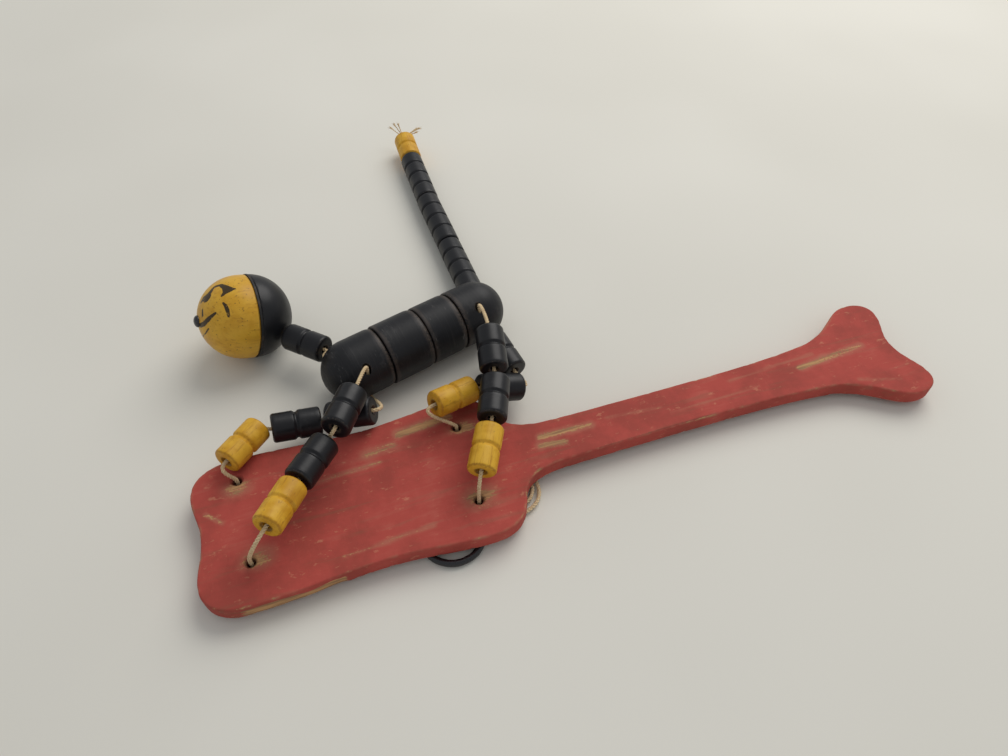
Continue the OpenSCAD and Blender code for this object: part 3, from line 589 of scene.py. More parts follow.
def cordTree():
    t = NodeTree("laidCord", Diameter="Float", Pitch="Float", Step="Float", Finish="Material")
    given = t.given.outputs
    curve = t.node("GeometryNodeMeshToCurve", Mesh=given["Geometry"])
    curve = t.node("GeometryNodeResampleCurve", {"mode": "LENGTH"}, Curve=curve, Length=given["Step"])
    along = t.node("GeometryNodeSplineParameter").outputs["Length"]
    curve = t.node("GeometryNodeStoreNamedAttribute", {"data_type": "FLOAT", "domain": "POINT"},
                   Geometry=curve, Name="along", Value=along)
    turn = t.math("MULTIPLY", t.math("DIVIDE", along, given["Pitch"]), 2 * math.pi)
    side = t.node("GeometryNodeInputNormal")
    other = t.vector("CROSS_PRODUCT", t.node("GeometryNodeInputTangent"), side)
    profile = t.node("GeometryNodeCurvePrimitiveCircle", {"mode": "RADIUS"}, Resolution=9,
                     Radius=t.math("MULTIPLY", given["Diameter"], strandShares["radius"]))
    joined = t.node("GeometryNodeJoinGeometry")
    for k in range(3):
        phase = t.math("ADD", turn, 2 * math.pi * k / 3)
        sideways = t.stretch(side, t.math("COSINE", phase))
        offset = t.vector("ADD", sideways, t.stretch(other, t.math("SINE", phase)))
        offset = t.stretch(offset, t.math("MULTIPLY", given["Diameter"], strandShares["offset"]))
        strand = t.node("GeometryNodeSetPosition", Geometry=curve, Offset=offset)
        solid = t.node("GeometryNodeCurveToMesh", Curve=strand, ProfileCurve=profile, FillCaps=True)
        t.tree.links.new(solid.outputs[0], joined.inputs[0])
    real = t.node("GeometryNodeRealizeInstances", Geometry=joined)
    painted = t.node("GeometryNodeSetMaterial", Geometry=real, Material=given["Finish"])
    t.feed(t.made.inputs[0], painted)
    return t


turning = turningTree()
laying = cordTree()
print("geometry-node trees made")


# Where the turned pieces lie, read from the frame

def unit(v):
    v = Vector(v)
    return v / v.length


def spread(points, direction):
    along = points @ np.array(direction)
    return along.min(), along.max()


def axialFrame(name, axis, across=None):
    points = vertexArray(nodes[name].data)
    z = unit(axis)
    x = unit(across) if across else unit(z.orthogonal())
    y = z.cross(x)
    middles = [sum(spread(points, d)) / 2 for d in (x, y)]
    low, high = spread(points, z)
    start = x * middles[0] + y * middles[1] + z * low
    matrix = Matrix((x, y, z)).transposed().to_4x4()
    matrix.translation = start
    return {"matrix": matrix, "low": start, "high": start + z * (high - low), "axis": z, "length": high - low}


def beadAxis(name):
    points = np.unique(np.round(vertexArray(nodes[name].data), 6), axis=0)
    values, vectors = np.linalg.eigh(np.cov((points - points.mean(0)).T))
    odd = 2 if values[2] - values[1] > values[1] - values[0] else 0
    return Vector(vectors[:, odd])


def beadFrom(name, nearTo):
    place = axialFrame(name, beadAxis(name))
    if (place["low"] - nearTo).length > (place["high"] - nearTo).length:
        place = axialFrame(name, -place["axis"])
    return place


# Turned profiles, as points of radius and height in millimetres

def quarter(centre, radius, start, end, steps=6):
    turns = [start + (end - start) * i / steps for i in range(steps + 1)]
    return [(centre[0] + radius * math.cos(math.radians(a)), centre[1] + radius * math.sin(math.radians(a)))
            for a in turns]


def closeUp(points, longest=0.8):
    full = []
    for a, b in zip(points, points[1:]):
        count = max(1, math.ceil(math.dist(a, b) / longest))
        full += [(a[0] + (b[0] - a[0]) * i / count, a[1] + (b[1] - a[1]) * i / count) for i in range(count)]
    return full + [points[-1]]


bead = {
    "radius": 5.5, "footRadius": 5.25, "stretch": 9.0, "rim": 1.1, "bore": 1.5, "mouth": 0.6,
    "grooveWidth": 2.5, "grooveDepth": 0.7, "steps": 72, "uneven": 0.08,
}


def beadProfile(stretches, r):
    rim, bore, mouth = bead["rim"], bead["bore"], bead["mouth"]
    length = stretches * bead["stretch"]
    points = [(bore, mouth), (bore + mouth, 0)] + quarter((r - rim, rim), rim, -90, 0)
    for i in range(1, stretches):
        for turn in range(-180, 181, 18):
            sunk = bead["grooveDepth"] * (1 + math.cos(math.radians(turn))) / 2
            points.append((r - sunk, i * bead["stretch"] + bead["grooveWidth"] * turn / 360))
    points += quarter((r - rim, length - rim), rim, 0, 90)
    return points + [(bore + mouth, length), (bore, length - mouth), (bore, mouth)]


torso = {
    "radius": 12.4, "crisp": 0.5, "shoulder": 3.0, "shoulderIn": 1.1, "bore": 1.7, "heading": 16.0,
    "chestRoll": 6.0, "rumpRoll": -6.0, "chestLength": 12.9, "rumpLength": 10.4,
    "legHole": 1.7, "legHoleDrop": 8.6, "legHoleIn": 2.4, "dorsal": 60.0, "steps": 108, "uneven": 0.09,
    "drillIn": 0.5, "drillOut": 2.0,
}


def softRim(radius):
    wide, tall = torso["shoulderIn"], torso["shoulder"]
    turns = [math.radians(90 * step / 12) for step in range(13)]
    return [(radius - wide * (1 - math.sin(a)), tall * (1 - math.cos(a))) for a in turns]


def crispRim(radius):
    return quarter((radius - torso["crisp"], torso["crisp"]), torso["crisp"], -90, 0)


def collarProfile(length, radius):
    rear = [(r, length - z) for r, z in reversed(softRim(radius))]
    return [(torso["bore"], 0)] + crispRim(radius) + rear + [(torso["bore"], length), (torso["bore"], 0)]


def domedProfile(straight, rim):
    r = torso["radius"]
    dome = quarter((0, straight), r, 0, 90, 40)
    dome[-1] = (0, straight + r)
    return [(0, straight), (torso["bore"], straight), (torso["bore"], 0)] + rim(r) + dome


def rimShare(local, points, reach):
    radius = np.hypot(local[:, 0], local[:, 1])
    share = np.zeros(len(local))
    for r, z in points:
        away = np.hypot(radius - r * mm, local[:, 2] - z * mm)
        share = np.maximum(share, np.exp(-(away / (reach * mm)) ** 2))
    return share


# Each piece is cut from another place in the same wood; wear and dirt run this far from rims and mouths
stock = {"shift": (0.031, 0.047, 0.059), "seed": 3.7, "rim": 0.8, "dirt": 1.3, "mouth": 0.9, "mouthDeep": 1.5}
pieceCount = 0


def turnedPiece(name, profile, matrix, finish, steps, uneven, rims=(), grimy=(), cutters=(), mouths=()):
    global pieceCount
    pieceCount += 1
    rows = closeUp(profile)
    chain = meshFrom(name, [(r * mm, 0, z * mm) for r, z in rows], [(i, i + 1) for i in range(len(rows) - 1)])
    made = turning.apply(name, chain, Steps=steps, Uneven=uneven * mm, Seed=stock["seed"] * pieceCount,
                         Finish=finish)
    outward(made.data)
    if cutters:
        drill(made, cutters)
    local = vertexArray(made.data)
    vectorAttribute(made.data, "wood", local + np.array(stock["shift"]) * pieceCount)
    share = rimShare(local, rims, stock["rim"])
    for place, direction, radius in mouths:
        off = local - np.array(place)
        along = off @ np.array(direction)
        away = np.sqrt(np.maximum((off ** 2).sum(1) - along ** 2, 0)) - radius * mm
        near = np.exp(-(np.maximum(away, 0) / (stock["mouth"] * mm)) ** 2)
        share = np.maximum(share, near * (along > -stock["mouthDeep"] * mm))
    floatAttribute(made.data, "rim", share)
    floatAttribute(made.data, "grime", rimShare(local, grimy, stock["dirt"]))
    made.data.transform(matrix)
    return made


def drill(made, cutters):
    for start, end, radius in cutters:
        way = Vector(end) - Vector(start)
        work = bmesh.new()
        bmesh.ops.create_cone(work, cap_ends=True, segments=40, radius1=radius, radius2=radius,
                              depth=way.length)
        mesh = bpy.data.meshes.new("drill")
        work.to_mesh(mesh)
        work.free()
        turn = way.to_track_quat("Z", "Y").to_matrix().to_4x4()
        mesh.transform(Matrix.Translation((Vector(start) + Vector(end)) / 2) @ turn)
        tool = newObject("drill", mesh)
        cut = made.modifiers.new("cut", "BOOLEAN")
        cut.operation = "DIFFERENCE"
        cut.solver = "EXACT"
        cut.object = tool
        bake(made)
        bpy.data.objects.remove(tool)
    finish = next(m for m in made.data.materials if m)
    made.data.materials.clear()
    made.data.materials.append(finish)
    made.data.polygons.foreach_set("material_index", [0] * len(made.data.polygons))
    made.data.shade_smooth()
    made.data.set_sharp_from_angle(angle=edgeTurn)


# Torso: chest, two collars and rump on one axis

axis = Vector((math.cos(math.radians(torso["heading"])), math.sin(math.radians(torso["heading"])), 0))
back = Vector((-axis.y, axis.x, 0))
upward = Vector((0, 0, 1))


def rolled(degrees, towardsBack, towardsFlank):
    turn = math.radians(degrees)
    return (back * (towardsBack * math.cos(turn) - towardsFlank * math.sin(turn))
            + upward * (towardsBack * math.sin(turn) + towardsFlank * math.cos(turn)))


def makeDomed(name, outwards, roll, length, rim):
    place = axialFrame(name, outwards, rolled(roll, 1, 0))
    r, drop, inward = torso["radius"] * mm, torso["legHoleDrop"] * mm, torso["legHoleIn"] * mm
    dorsal = math.radians(torso["dorsal"])
    centre = Vector((0, 0, length * mm))
    spine = Vector((math.sin(dorsal), 0, math.cos(dorsal)))
    hole = Vector((-drop, 0, centre.z - inward))
    reach = math.sqrt(r * r - drop * drop)
    drillFrom, drillTo = -torso["drillIn"] * mm, r + torso["drillOut"] * mm
    cutters = [(hole - Vector((0, r, 0)), hole + Vector((0, r, 0)), torso["legHole"] * mm),
               (centre + spine * drillFrom, centre + spine * drillTo, torso["bore"] * mm)]
    mouths = [(centre + spine * r, spine, torso["bore"]),
              (hole + Vector((0, reach, 0)), (0, 1, 0), torso["legHole"]),
              (hole - Vector((0, reach, 0)), (0, -1, 0), torso["legHole"])]
    rims, grimy = rim(torso["radius"])[:8], [(torso["radius"] - 0.3, 1.2)]
    made = turnedPiece(name + "_wood", domedProfile(length, rim), place["matrix"], dullBlack, torso["steps"],
                       torso["uneven"], rims, grimy, cutters, mouths)
    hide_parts(name)
    flank = place["matrix"].to_3x3() @ Vector((0, 1, 0))
    across = place["matrix"] @ hole
    return {"piece": made, "centre": place["matrix"] @ centre, "flat": place["low"],
            "spine": place["matrix"].to_3x3() @ spine, "exit": place["matrix"] @ (centre + spine * r),
            "left": across + flank * reach, "right": across - flank * reach, "flank": flank, "hole": across}


chest = makeDomed("chest", -axis, torso["chestRoll"], torso["chestLength"], softRim)
rump = makeDomed("rump", axis, torso["rumpRoll"], torso["rumpLength"], crispRim)
for part in (chest, rump):
    if part["flank"].z < 0:
        part["left"], part["right"], part["flank"] = part["right"], part["left"], -part["flank"]
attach(chest["piece"], "chest_body")
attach(rump["piece"], "rump_body")
for name in ("front_middle", "rear_middle"):
    place = axialFrame(name, axis, back)
    low, high = spread(vertexArray(nodes[name].data), back)
    radius, length = (high - low) / 2 / mm, place["length"] / mm
    rims = [(r, length - z) for r, z in softRim(radius)[:8]]
    grimy = [(radius, 0.8), (radius - 0.4, length - 1.6), (radius - torso["shoulderIn"], length)]
    made = turnedPiece(name + "_wood", collarProfile(length, radius), place["matrix"], dullBlack,
                       torso["steps"], torso["uneven"], rims, grimy)
    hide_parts(name)
    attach(made, name + "_body")
print("torso turned")


# Small beads of the legs, neck and tail

def makeBead(name, body, nearTo, finish, stretches=2):
    place = beadFrom(name, nearTo)
    length = place["length"] / mm
    radius = bead["footRadius"] if name.endswith("_foot") else bead["radius"]
    rims = [(radius - 0.2, 0.2), (radius - 0.2, length - 0.2)]
    ends = [(bead["bore"], 0), (bead["bore"], length)]
    made = turnedPiece(name + "_wood", beadProfile(stretches, radius), place["matrix"], finish, bead["steps"],
                       bead["uneven"], rims, ends)
    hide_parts(name)
    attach(made, body)
    return place


legs = {}
for leg, hip in (("left_front", chest["left"]), ("right_front", chest["right"]),
                 ("left_rear", rump["left"]), ("right_rear", rump["right"])):
    beads = []
    nearTo = hip
    for part in ("thigh", "shin", "foot"):
        finish, slotName = (yellow, "yellow_paint") if part == "foot" else (black, "black_paint")
        place = makeBead(f"{leg}_{part}", f"{leg}_{part}_bead", nearTo, finish)
        beads.append(place)
        nearTo = place["high"]
    legs[leg] = beads
neck = makeBead("neck_bead", "neck", chest["exit"], black)
tail = []
nearTo = rump["exit"]
for k in (1, 2, 3):
    tail.append(makeBead(f"tail_bead_{k}", f"tail_{k}", nearTo, black, 4))
    nearTo = tail[-1]["high"]
tail.append(makeBead("tail_tip", "tail_end", nearTo, yellow))
print("beads turned")


# Head: yellow face half with its drawn face, dark disc, black back half, nose tack

head = {
    "radius": 17.1, "faceLength": 20.2, "backLength": 16.0, "disc": 0.8, "nose": 2.4,
    "faceSteps": 256, "faceUneven": 0.10, "backSteps": 144, "backUneven": 0.09,
    "cordIn": 0.3, "drillIn": 12.0, "drillOut": 6.0,
}
disc = axialFrame("ear_disc", beadAxis("ear_disc"))
faceBox = [Vector(c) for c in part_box("face_half")]
if ((faceBox[0] + faceBox[1]) / 2 - disc["low"]).dot(disc["axis"]) < 0:
    disc = axialFrame("ear_disc", -disc["axis"])
faceUp = Vector((0.0, 1.0, 0.0))
headFrame = axialFrame("ear_disc", disc["axis"], faceUp - disc["axis"] * faceUp.dot(disc["axis"]))
seam = headFrame["high"]
headMatrix = headFrame["matrix"].copy()
headMatrix.translation = seam

# Painted strokes of the face: sideways and up from the nose over the curve, then half the stroke's width
face = {
    "mask": [(7.2, 3.3, 0.5), (9.2, 3.6, 1.2), (11.2, 2.2, 2.3), (12.8, 3.4, 1.3), (15.2, 5.6, 0.75),
             (18.0, 4.6, 0.8), (19.6, 1.6, 1.3), (20.2, -0.9, 2.1), (22.6, -2.0, 0.7)],
    "maskPoint": [(19.6, -1.6, 1.4), (17.2, -2.7, 0.6)],
    "eye": [(15.9, -6.4, 0.45), (15.8, -8.3, 0.75), (14.9, -10.3, 0.8), (13.2, -12.6, 0.6)],
    "spot": [(6.9, -1.0, 0.5), (5.5, -2.7, 0.6)],
    "mouth": [(0.4, -3.0, 0.9), (3.1, -5.2, 1.0), (6.5, -6.4, 1.0), (10.8, -7.5, 0.55)],
    "chin": [(3.0, -8.2, 0.35), (0.0, -7.2, 0.3), (-5.0, -4.2, 0.2)],
    "soft": 0.35,
}


def fromSegment(x, y, a, b):
    along = np.array(b[:2], float) - np.array(a[:2], float)
    share = np.clip(((x - a[0]) * along[0] + (y - a[1]) * along[1]) / (along @ along), 0, 1)
    return share, np.hypot(x - a[0] - share * along[0], y - a[1] - share * along[1])


def strokeDepth(u, v, points):
    best = np.full(len(u), -1e9)
    for a, b in zip(points, points[1:]):
        share, away = fromSegment(u, v, a, b)
        best = np.maximum(best, a[2] + (b[2] - a[2]) * share - away)
    return best


def faceInk(u, v):
    depths = [strokeDepth(u, v, points) for name, points in face.items() if name != "soft"]
    return np.clip(0.5 + np.max(depths, 0) / face["soft"], 0, 1)


def makeHead():
    r, length = head["radius"], head["faceLength"]
    land = length - r
    seat = land + math.sqrt(r * r - head["nose"] ** 2)
    dome = [p for p in quarter((0, land), r, 0, 90, 110) if p[1] < seat] + [(head["nose"], seat), (0, seat)]
    profile = closeUp([(0, 0), (r - 0.5, 0), (r, 0.5)] + dome, 0.5)
    front = turnedPiece("face_wood", profile, headMatrix, facing, head["faceSteps"], head["faceUneven"],
                        [(r, 0.2)])
    inverse = headMatrix.inverted()
    local = vertexArray(front.data) @ np.array(inverse.to_3x3()).T + np.array(inverse.translation)
    turn = np.arctan2(local[:, 1], local[:, 0])
    fromNose = np.arctan2(np.hypot(local[:, 0], local[:, 1]), local[:, 2] - land * mm) * r
    ink = faceInk(-np.sin(turn) * fromNose, np.cos(turn) * fromNose)
    floatAttribute(front.data, "ink", ink * (local[:, 2] > land * mm * 0.2))
    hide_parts("face_half")
    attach(front, "head")


makeHead()


def makeBackHalf():
    r = head["radius"]
    flip = headMatrix @ Matrix.Translation((0, 0, -head["disc"] * mm)) @ Matrix.Rotation(math.pi, 4, "X")
    share = head["backLength"] / r
    dome = [(p[0], p[1] * share) for p in quarter((0, 0), r, 2, 90, 60)]
    dome[-1] = (0, head["backLength"])
    direction, exitPlace = headBore()
    inverse = flip.inverted()
    start = inverse @ (exitPlace - direction * head["drillIn"] * mm)
    end = inverse @ (exitPlace + direction * head["drillOut"] * mm)
    mouth = (tuple(inverse @ exitPlace), tuple(inverse.to_3x3() @ direction), torso["bore"])
    made = turnedPiece("head_back_wood", [(0, 0), (r - 0.4, 0)] + dome, flip, black, head["backSteps"],
                       head["backUneven"], [(r, 0.2)], (), [(start, end, torso["bore"] * mm)], [mouth])
    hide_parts("back_half")
    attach(made, "head")


def headBore():
    points = vertexArray(nodes["head_cord"].data)
    middle = points.mean(0)
    vectors = np.linalg.eigh(np.cov((points - middle).T))[1]
    direction = Vector(vectors[:, 2])
    if direction.dot(neck["high"] - Vector(middle)) < 0:
        direction = -direction
    along = (points - middle) @ np.array(direction)
    return direction, Vector(middle) + direction * (along.max() - head["cordIn"] * mm)


makeBackHalf()
print("head made")


# Cords, laid from three strands along the same routes as the solids

boardThick = 6.4
cordSize = {
    "diameter": 1.5, "pitch": 3.9, "step": 0.3, "shortest": 0.02,
    "reach": 0.4, "swing": 3.4, "facing": 0.12, "facingReach": 0.6,
    "hipReach": 3.8, "hipArrive": 0.35, "footRise": 3.0, "holeDepth": 0.4, "headDepth": 6.0,
    "trunkIn": 0.2,
}


# A cord leaves a bore straight, for longer where it has to turn back round the rim
def wideReach(gap, way):
    return cordSize["reach"] * gap.length + cordSize["swing"] * mm * (1 - unit(gap).dot(way))


def tightReach(gap, way):
    across = gap.dot(way)
    if across > cordSize["facing"] * gap.length:
        return cordSize["facingReach"] * max(across, mm)
    return wideReach(gap, way)


def curved(*knots, steps=16):
    return list(geometry.interpolate_bezier(*knots, steps + 1))


def link(start, leave, end, arrive, reach=wideReach):
    gap = end - start
    leave, arrive = unit(leave), unit(arrive)
    return curved(start, start + leave * reach(gap, leave), end - arrive * reach(gap, arrive), end)


def hipLink(hip, out, top, along):
    arrive = cordSize["hipArrive"] * (top - hip).length
    return curved(hip, hip + out * cordSize["hipReach"] * mm, top - along * arrive, top)


def footLink(start, along, hole):
    rise = Vector((0, 0, cordSize["footRise"] * mm))
    return curved(start, start + along * wideReach(hole - start, along), hole + rise, hole)


def layCord(name, route):
    points = [route[0]]
    for p in route[1:]:
        if (Vector(p) - Vector(points[-1])).length > cordSize["shortest"] * mm:
            points.append(p)
    chain = meshFrom(name, points, [(i, i + 1) for i in range(len(points) - 1)])
    made = laying.apply(name, chain, Diameter=cordSize["diameter"] * mm, Pitch=cordSize["pitch"] * mm,
                        Step=cordSize["step"] * mm, Finish=fibre)
    made.data.shade_smooth()
    return made


def middle(place):
    return (place["low"] + place["high"]) / 2


for leg, beads in legs.items():
    thigh, shin, foot = beads
    trunk = chest if "front" in leg else rump
    side = leg.split("_")[0]
    out = trunk["flank"] if side == "left" else -trunk["flank"]
    hip = trunk[side]
    route = [trunk["hole"]] + hipLink(hip, out, thigh["low"], thigh["axis"]) + [middle(thigh)]
    made = layCord(leg + "_hip_cord_laid", route)
    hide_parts(leg + "_thigh_cord")
    if side == "left":
        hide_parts(("front" if "front" in leg else "rear") + "_hip_cord")
    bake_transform(made)
    for upper, lower, upperName, lowerName, joint in ((thigh, shin, "thigh", "shin", "knee"),
                                                      (shin, foot, "shin", "foot", "ankle")):
        free = link(upper["high"], upper["axis"], lower["low"], lower["axis"], tightReach)
        route = [middle(upper)] + free + [middle(lower)]
        made = layCord(f"{leg}_{joint}_cord_laid", route)
        if joint == "knee":
            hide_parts(leg + "_shin_cord")
        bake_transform(made)
    points = vertexArray(nodes[leg + "_foot_cord"].data)
    lowest = points[points[:, 2] < points[:, 2].min() + cordSize["holeDepth"] * mm].mean(0)
    hole = Vector((lowest[0], lowest[1], boardThick * mm))
    route = [middle(foot)] + footLink(foot["high"], foot["axis"], hole)
    made = layCord(leg + "_foot_cord_laid", route)
    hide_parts(leg + "_foot_cord")
    if leg == "left_rear":
        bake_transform(made)
    else:
        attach(made, leg + "_foot_bead")
    legs[leg].append(hole)

route = [chest["flat"], chest["centre"] + chest["spine"] * cordSize["trunkIn"] * mm]
route += link(chest["exit"], chest["spine"], neck["low"], neck["axis"]) + [middle(neck)]
made = layCord("neck_cord_laid", route)
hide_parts("chest_cord", "neck_cord")
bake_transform(made)
boreWay, boreMouth = headBore()
route = [middle(neck)] + link(neck["high"], neck["axis"], boreMouth, -boreWay)
route.append(boreMouth - boreWay * cordSize["headDepth"] * mm)
made = layCord("head_cord_laid", route)
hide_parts("head_cord")
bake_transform(made)
route = [rump["flat"], rump["centre"] + rump["spine"] * cordSize["trunkIn"] * mm]
route += link(rump["exit"], rump["spine"], tail[0]["low"], tail[0]["axis"]) + [middle(tail[0])]
made = layCord("tail_root_cord_laid", route)
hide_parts("rump_cord", "tail_cord_1")
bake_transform(made)
for k in range(3):
    route = [middle(tail[k]), tail[k]["high"], tail[k + 1]["low"], middle(tail[k + 1])]
    made = layCord(f"tail_cord_{k + 1}_laid", route)
    if k < 2:
        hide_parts(f"tail_cord_{k + 2}")
    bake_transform(made)
for name in ("front_middle_cord", "rear_middle_cord"):
    nodes[name].data.materials.clear()
    nodes[name].data.materials.append(fibre)

# Slack below the paddle: each way runs from its hole to the ring, as places across the board
slack = {
    "depth": -1.35, "under": -1.15, "start": 1.2, "holeLow": 2.9, "underShare": 0.25,
    "rightFront": [(-37, 16), (-32, 10)],
    "leftFront": [(-36.5, -10), (-32, -3)],
    "rightRear": [(46, 12), (56, 3), (62, -6), (62.6, -11.7), (61.8, -16), (59, -19.4), (54.5, -21.3),
                  (48, -22.6)],
    "leftRear": [(44.5, -11), (52, -7), (58.3, -7.6), (60.5, -11.5), (59.4, -14.8), (56.8, -17.3),
                 (51, -18.6)],
    "frontTies": {"right": 171, "left": 189},
    "rearTies": {"right": -6, "left": 12},
    "ringRadius": 10.75, "tieOuter": 4.0, "tieMiddle": 2.5, "tieInner": -2.45,
}


# A place between b and c on the smooth curve through a, b, c and d
def onCurve(a, b, c, d, t):
    return 0.5 * (2 * b + (c - a) * t + (2 * a - 5 * b + 4 * c - d) * t * t
                  + (3 * b - 3 * c + d - a) * t ** 3)


def smoothRoute(points, steps=6):
    full = []
    for i in range(len(points) - 1):
        a, b, c, d = (Vector(points[min(max(i + k, 0), len(points) - 1)]) for k in (-1, 0, 1, 2))
        full += [onCurve(a, b, c, d, k / steps) for k in range(steps)]
    return full + [Vector(points[-1])]


def ringCentre(name):
    low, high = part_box(name)
    return (low + high) / 2


for end in ("front", "rear"):
    centre = ringCentre(end + "_pull_ring")
    for side in ("right", "left"):
        hole = legs[f"{side}_{end}"][3]
        turn = math.radians(slack[end + "Ties"][side])
        radial = Vector((math.cos(turn), math.sin(turn), 0))
        flat = [Vector((x, y, slack["depth"])) * mm for x, y in slack[side + end.capitalize()]]
        out = [centre + radial * (slack["ringRadius"] + slack[tie]) * mm
               for tie in ("tieOuter", "tieMiddle", "tieInner")]
        under = hole.lerp(flat[0], slack["underShare"])
        under.z = slack["under"] * mm
        start = Vector((hole.x, hole.y, slack["start"] * mm))
        route = [hole, Vector((hole.x, hole.y, slack["holeLow"] * mm))]
        route += smoothRoute([start, under] + flat + [out[0]]) + out[1:]
        made = layCord(f"{side}_{end}_slack_laid", route)
        if side == "right":
            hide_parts(end + "_ring_cord")
            if end == "front":
                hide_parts("hole_cords")
        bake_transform(made)
print("cords laid")


# The knot and frayed strands that hold the tail tip

fray = {
    "knot": 3.4, "knotCord": 0.62, "strand": 0.55, "tuft": 3.5, "leave": 1.2, "bend": 420, "bendBy": 0.22,
    "hairs": 9, "hairSpread": 1.1, "hairShare": 0.11, "hairDrop": 0.3, "hairRadii": (0.07, 0.06, 0.05, 0.02),
    "ends": [(-5.5, 7.5, 3.5), (-3, 8.5, 4.5), (-1, 7, 5), (8.5, 3.5, 2.5), (9.5, 1, 4), (7.5, -1.5, 3.5)],
}


def trefoil(centre, along, size, steps=90):
    turn = along.to_track_quat("Z", "Y")
    points = []
    for i in range(steps):
        t = 2 * math.pi * i / steps
        x, y = math.sin(t) + 2 * math.sin(2 * t), math.cos(t) - 2 * math.cos(2 * t)
        p = Vector((x, y, -math.sin(3 * t) * 1.4))
        points.append(centre + turn @ p * (size / 7.6))
    return points + [points[0]]


def tubeAlong(name, route, radii, sides=7):
    work = bmesh.new()
    rings = []
    side = unit(route[1] - route[0]).orthogonal().normalized()
    for i, p in enumerate(route):
        step = unit(route[min(i + 1, len(route) - 1)] - route[max(i - 1, 0)])
        side = unit(side - step * side.dot(step))
        other = step.cross(side)
        rings.append([work.verts.new(p + (side * math.cos(2 * math.pi * k / sides)
                                          + other * math.sin(2 * math.pi * k / sides)) * radii[i])
                      for k in range(sides)])
    for a, b in zip(rings, rings[1:]):
        for k in range(sides):
            work.faces.new((a[k], a[(k + 1) % sides], b[(k + 1) % sides], b[k]))
    work.faces.new(list(reversed(rings[0])))
    work.faces.new(rings[-1])
    mesh = bpy.data.meshes.new(name)
    work.to_mesh(mesh)
    work.free()
    mesh.shade_smooth()
    mesh.materials.append(fibre)
    return newObject(name, mesh)


def joinInto(first, others):
    work = bmesh.new()
    work.from_mesh(first.data)
    for other in others:
        work.from_mesh(other.data)
        bpy.data.objects.remove(other)
    work.to_mesh(first.data)
    work.free()
    return first


def makeFray():
    tip = tail[3]
    knotAt = tip["high"] + tip["axis"] * fray["knot"] * mm * 0.38
    end = layCord("tail_end_cord_laid", [middle(tip), tip["high"], knotAt])
    knot = trefoil(knotAt, tip["axis"], fray["knot"] * mm)
    loop = tubeAlong("tail_knot_loop", knot, [fray["knotCord"] * mm] * len(knot), 10)
    joinInto(end, [loop])
    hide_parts("tail_tip_cord")
    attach(end, "tail_end")
    strands = []
    leave = fray["leave"] * mm
    for k, way in enumerate(fray["ends"]):
        way = Vector(way) * mm
        knots = [knotAt + unit(way) * leave, knotAt + way * 0.4 + tip["axis"] * leave, knotAt + way * 0.75,
                 knotAt + way]
        line = geometry.interpolate_bezier(*knots, 30)
        seed = Vector((k * 7.0, 0, 0))
        line = [p + Vector(noise.noise_vector(p * fray["bend"] + seed)) * fray["bendBy"] * mm for p in line]
        tufts = [fray["tuft"] * max(0, i / 29 - 0.7) for i in range(len(line))]
        radii = [fray["strand"] / 2 * mm * (0.9 + 0.25 * math.sin(i * 1.3 + k) + tuft)
                 for i, tuft in enumerate(tufts)]
        strands.append(tubeAlong(f"strand_{k}", line, radii))
        for h in range(fray["hairs"]):
            drift = way * fray["hairShare"] + Vector(noise.random_unit_vector()) * fray["hairSpread"] * mm
            drop = Vector((0, 0, -fray["hairDrop"] * mm))
            start = line[-4 + h % 3]
            hair = [start + drift * t + drop * t * t for t in (0, 0.35, 0.7, 1)]
            strands.append(tubeAlong("hair", hair, [radius * mm for radius in fray["hairRadii"]], 4))
    made = joinInto(strands[0], strands[1:])
    made.name = "tail_fray_strands"
    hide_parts("tail_fray")
    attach(made, "tail_end")


noise.seed_set(11)
makeFray()
print("fray made")


# Paddle: its outline is read from the frame, then the wood is worn

paddle = {
    "thick": boardThick, "soft": 0.75, "softSteps": 6, "wallSteps": 9, "flatRows": (0.5, 1.2, 2.2),
    "spacing": 0.9, "grid": 1.3, "holeRadius": 1.6, "holeWear": 0.9, "holeSteps": 36, "sharpTurn": 32,
}

# How the wood has worn, and how much darker the wall gets at its bottom edge: the scales of its noise, then
# millimetres, then how strongly it shows
wear = {
    "reach": 0.9, "halfway": 3.2, "rimReach": 1.5,
    "dents": 260, "dentFrom": 0.25, "dentDeep": 0.55,
    "ripple": 420, "rippleStretch": (0.16, 1, 1), "rippleFrom": 0.05, "rippleDeep": 0.4,
    "split": (-46.0, -9.5), "splitFade": (6, 2.5), "splitSide": -20, "wallReach": 1.2, "splitTop": 4.3,
    "splitSway": 1.3, "splitSoft": 0.5, "splitDeep": 0.55, "splitBare": 1.1,
    "haloBare": 0.72, "underBare": 0.5, "edgeBare": 0.34, "dentBare": 0.5,
    # the last two make the wall darker towards its bottom edge, strongest at the underside
    "holeGrime": 1.1, "holeReach": 0.7, "underGrime": 0.55, "underReach": 0.8,
}

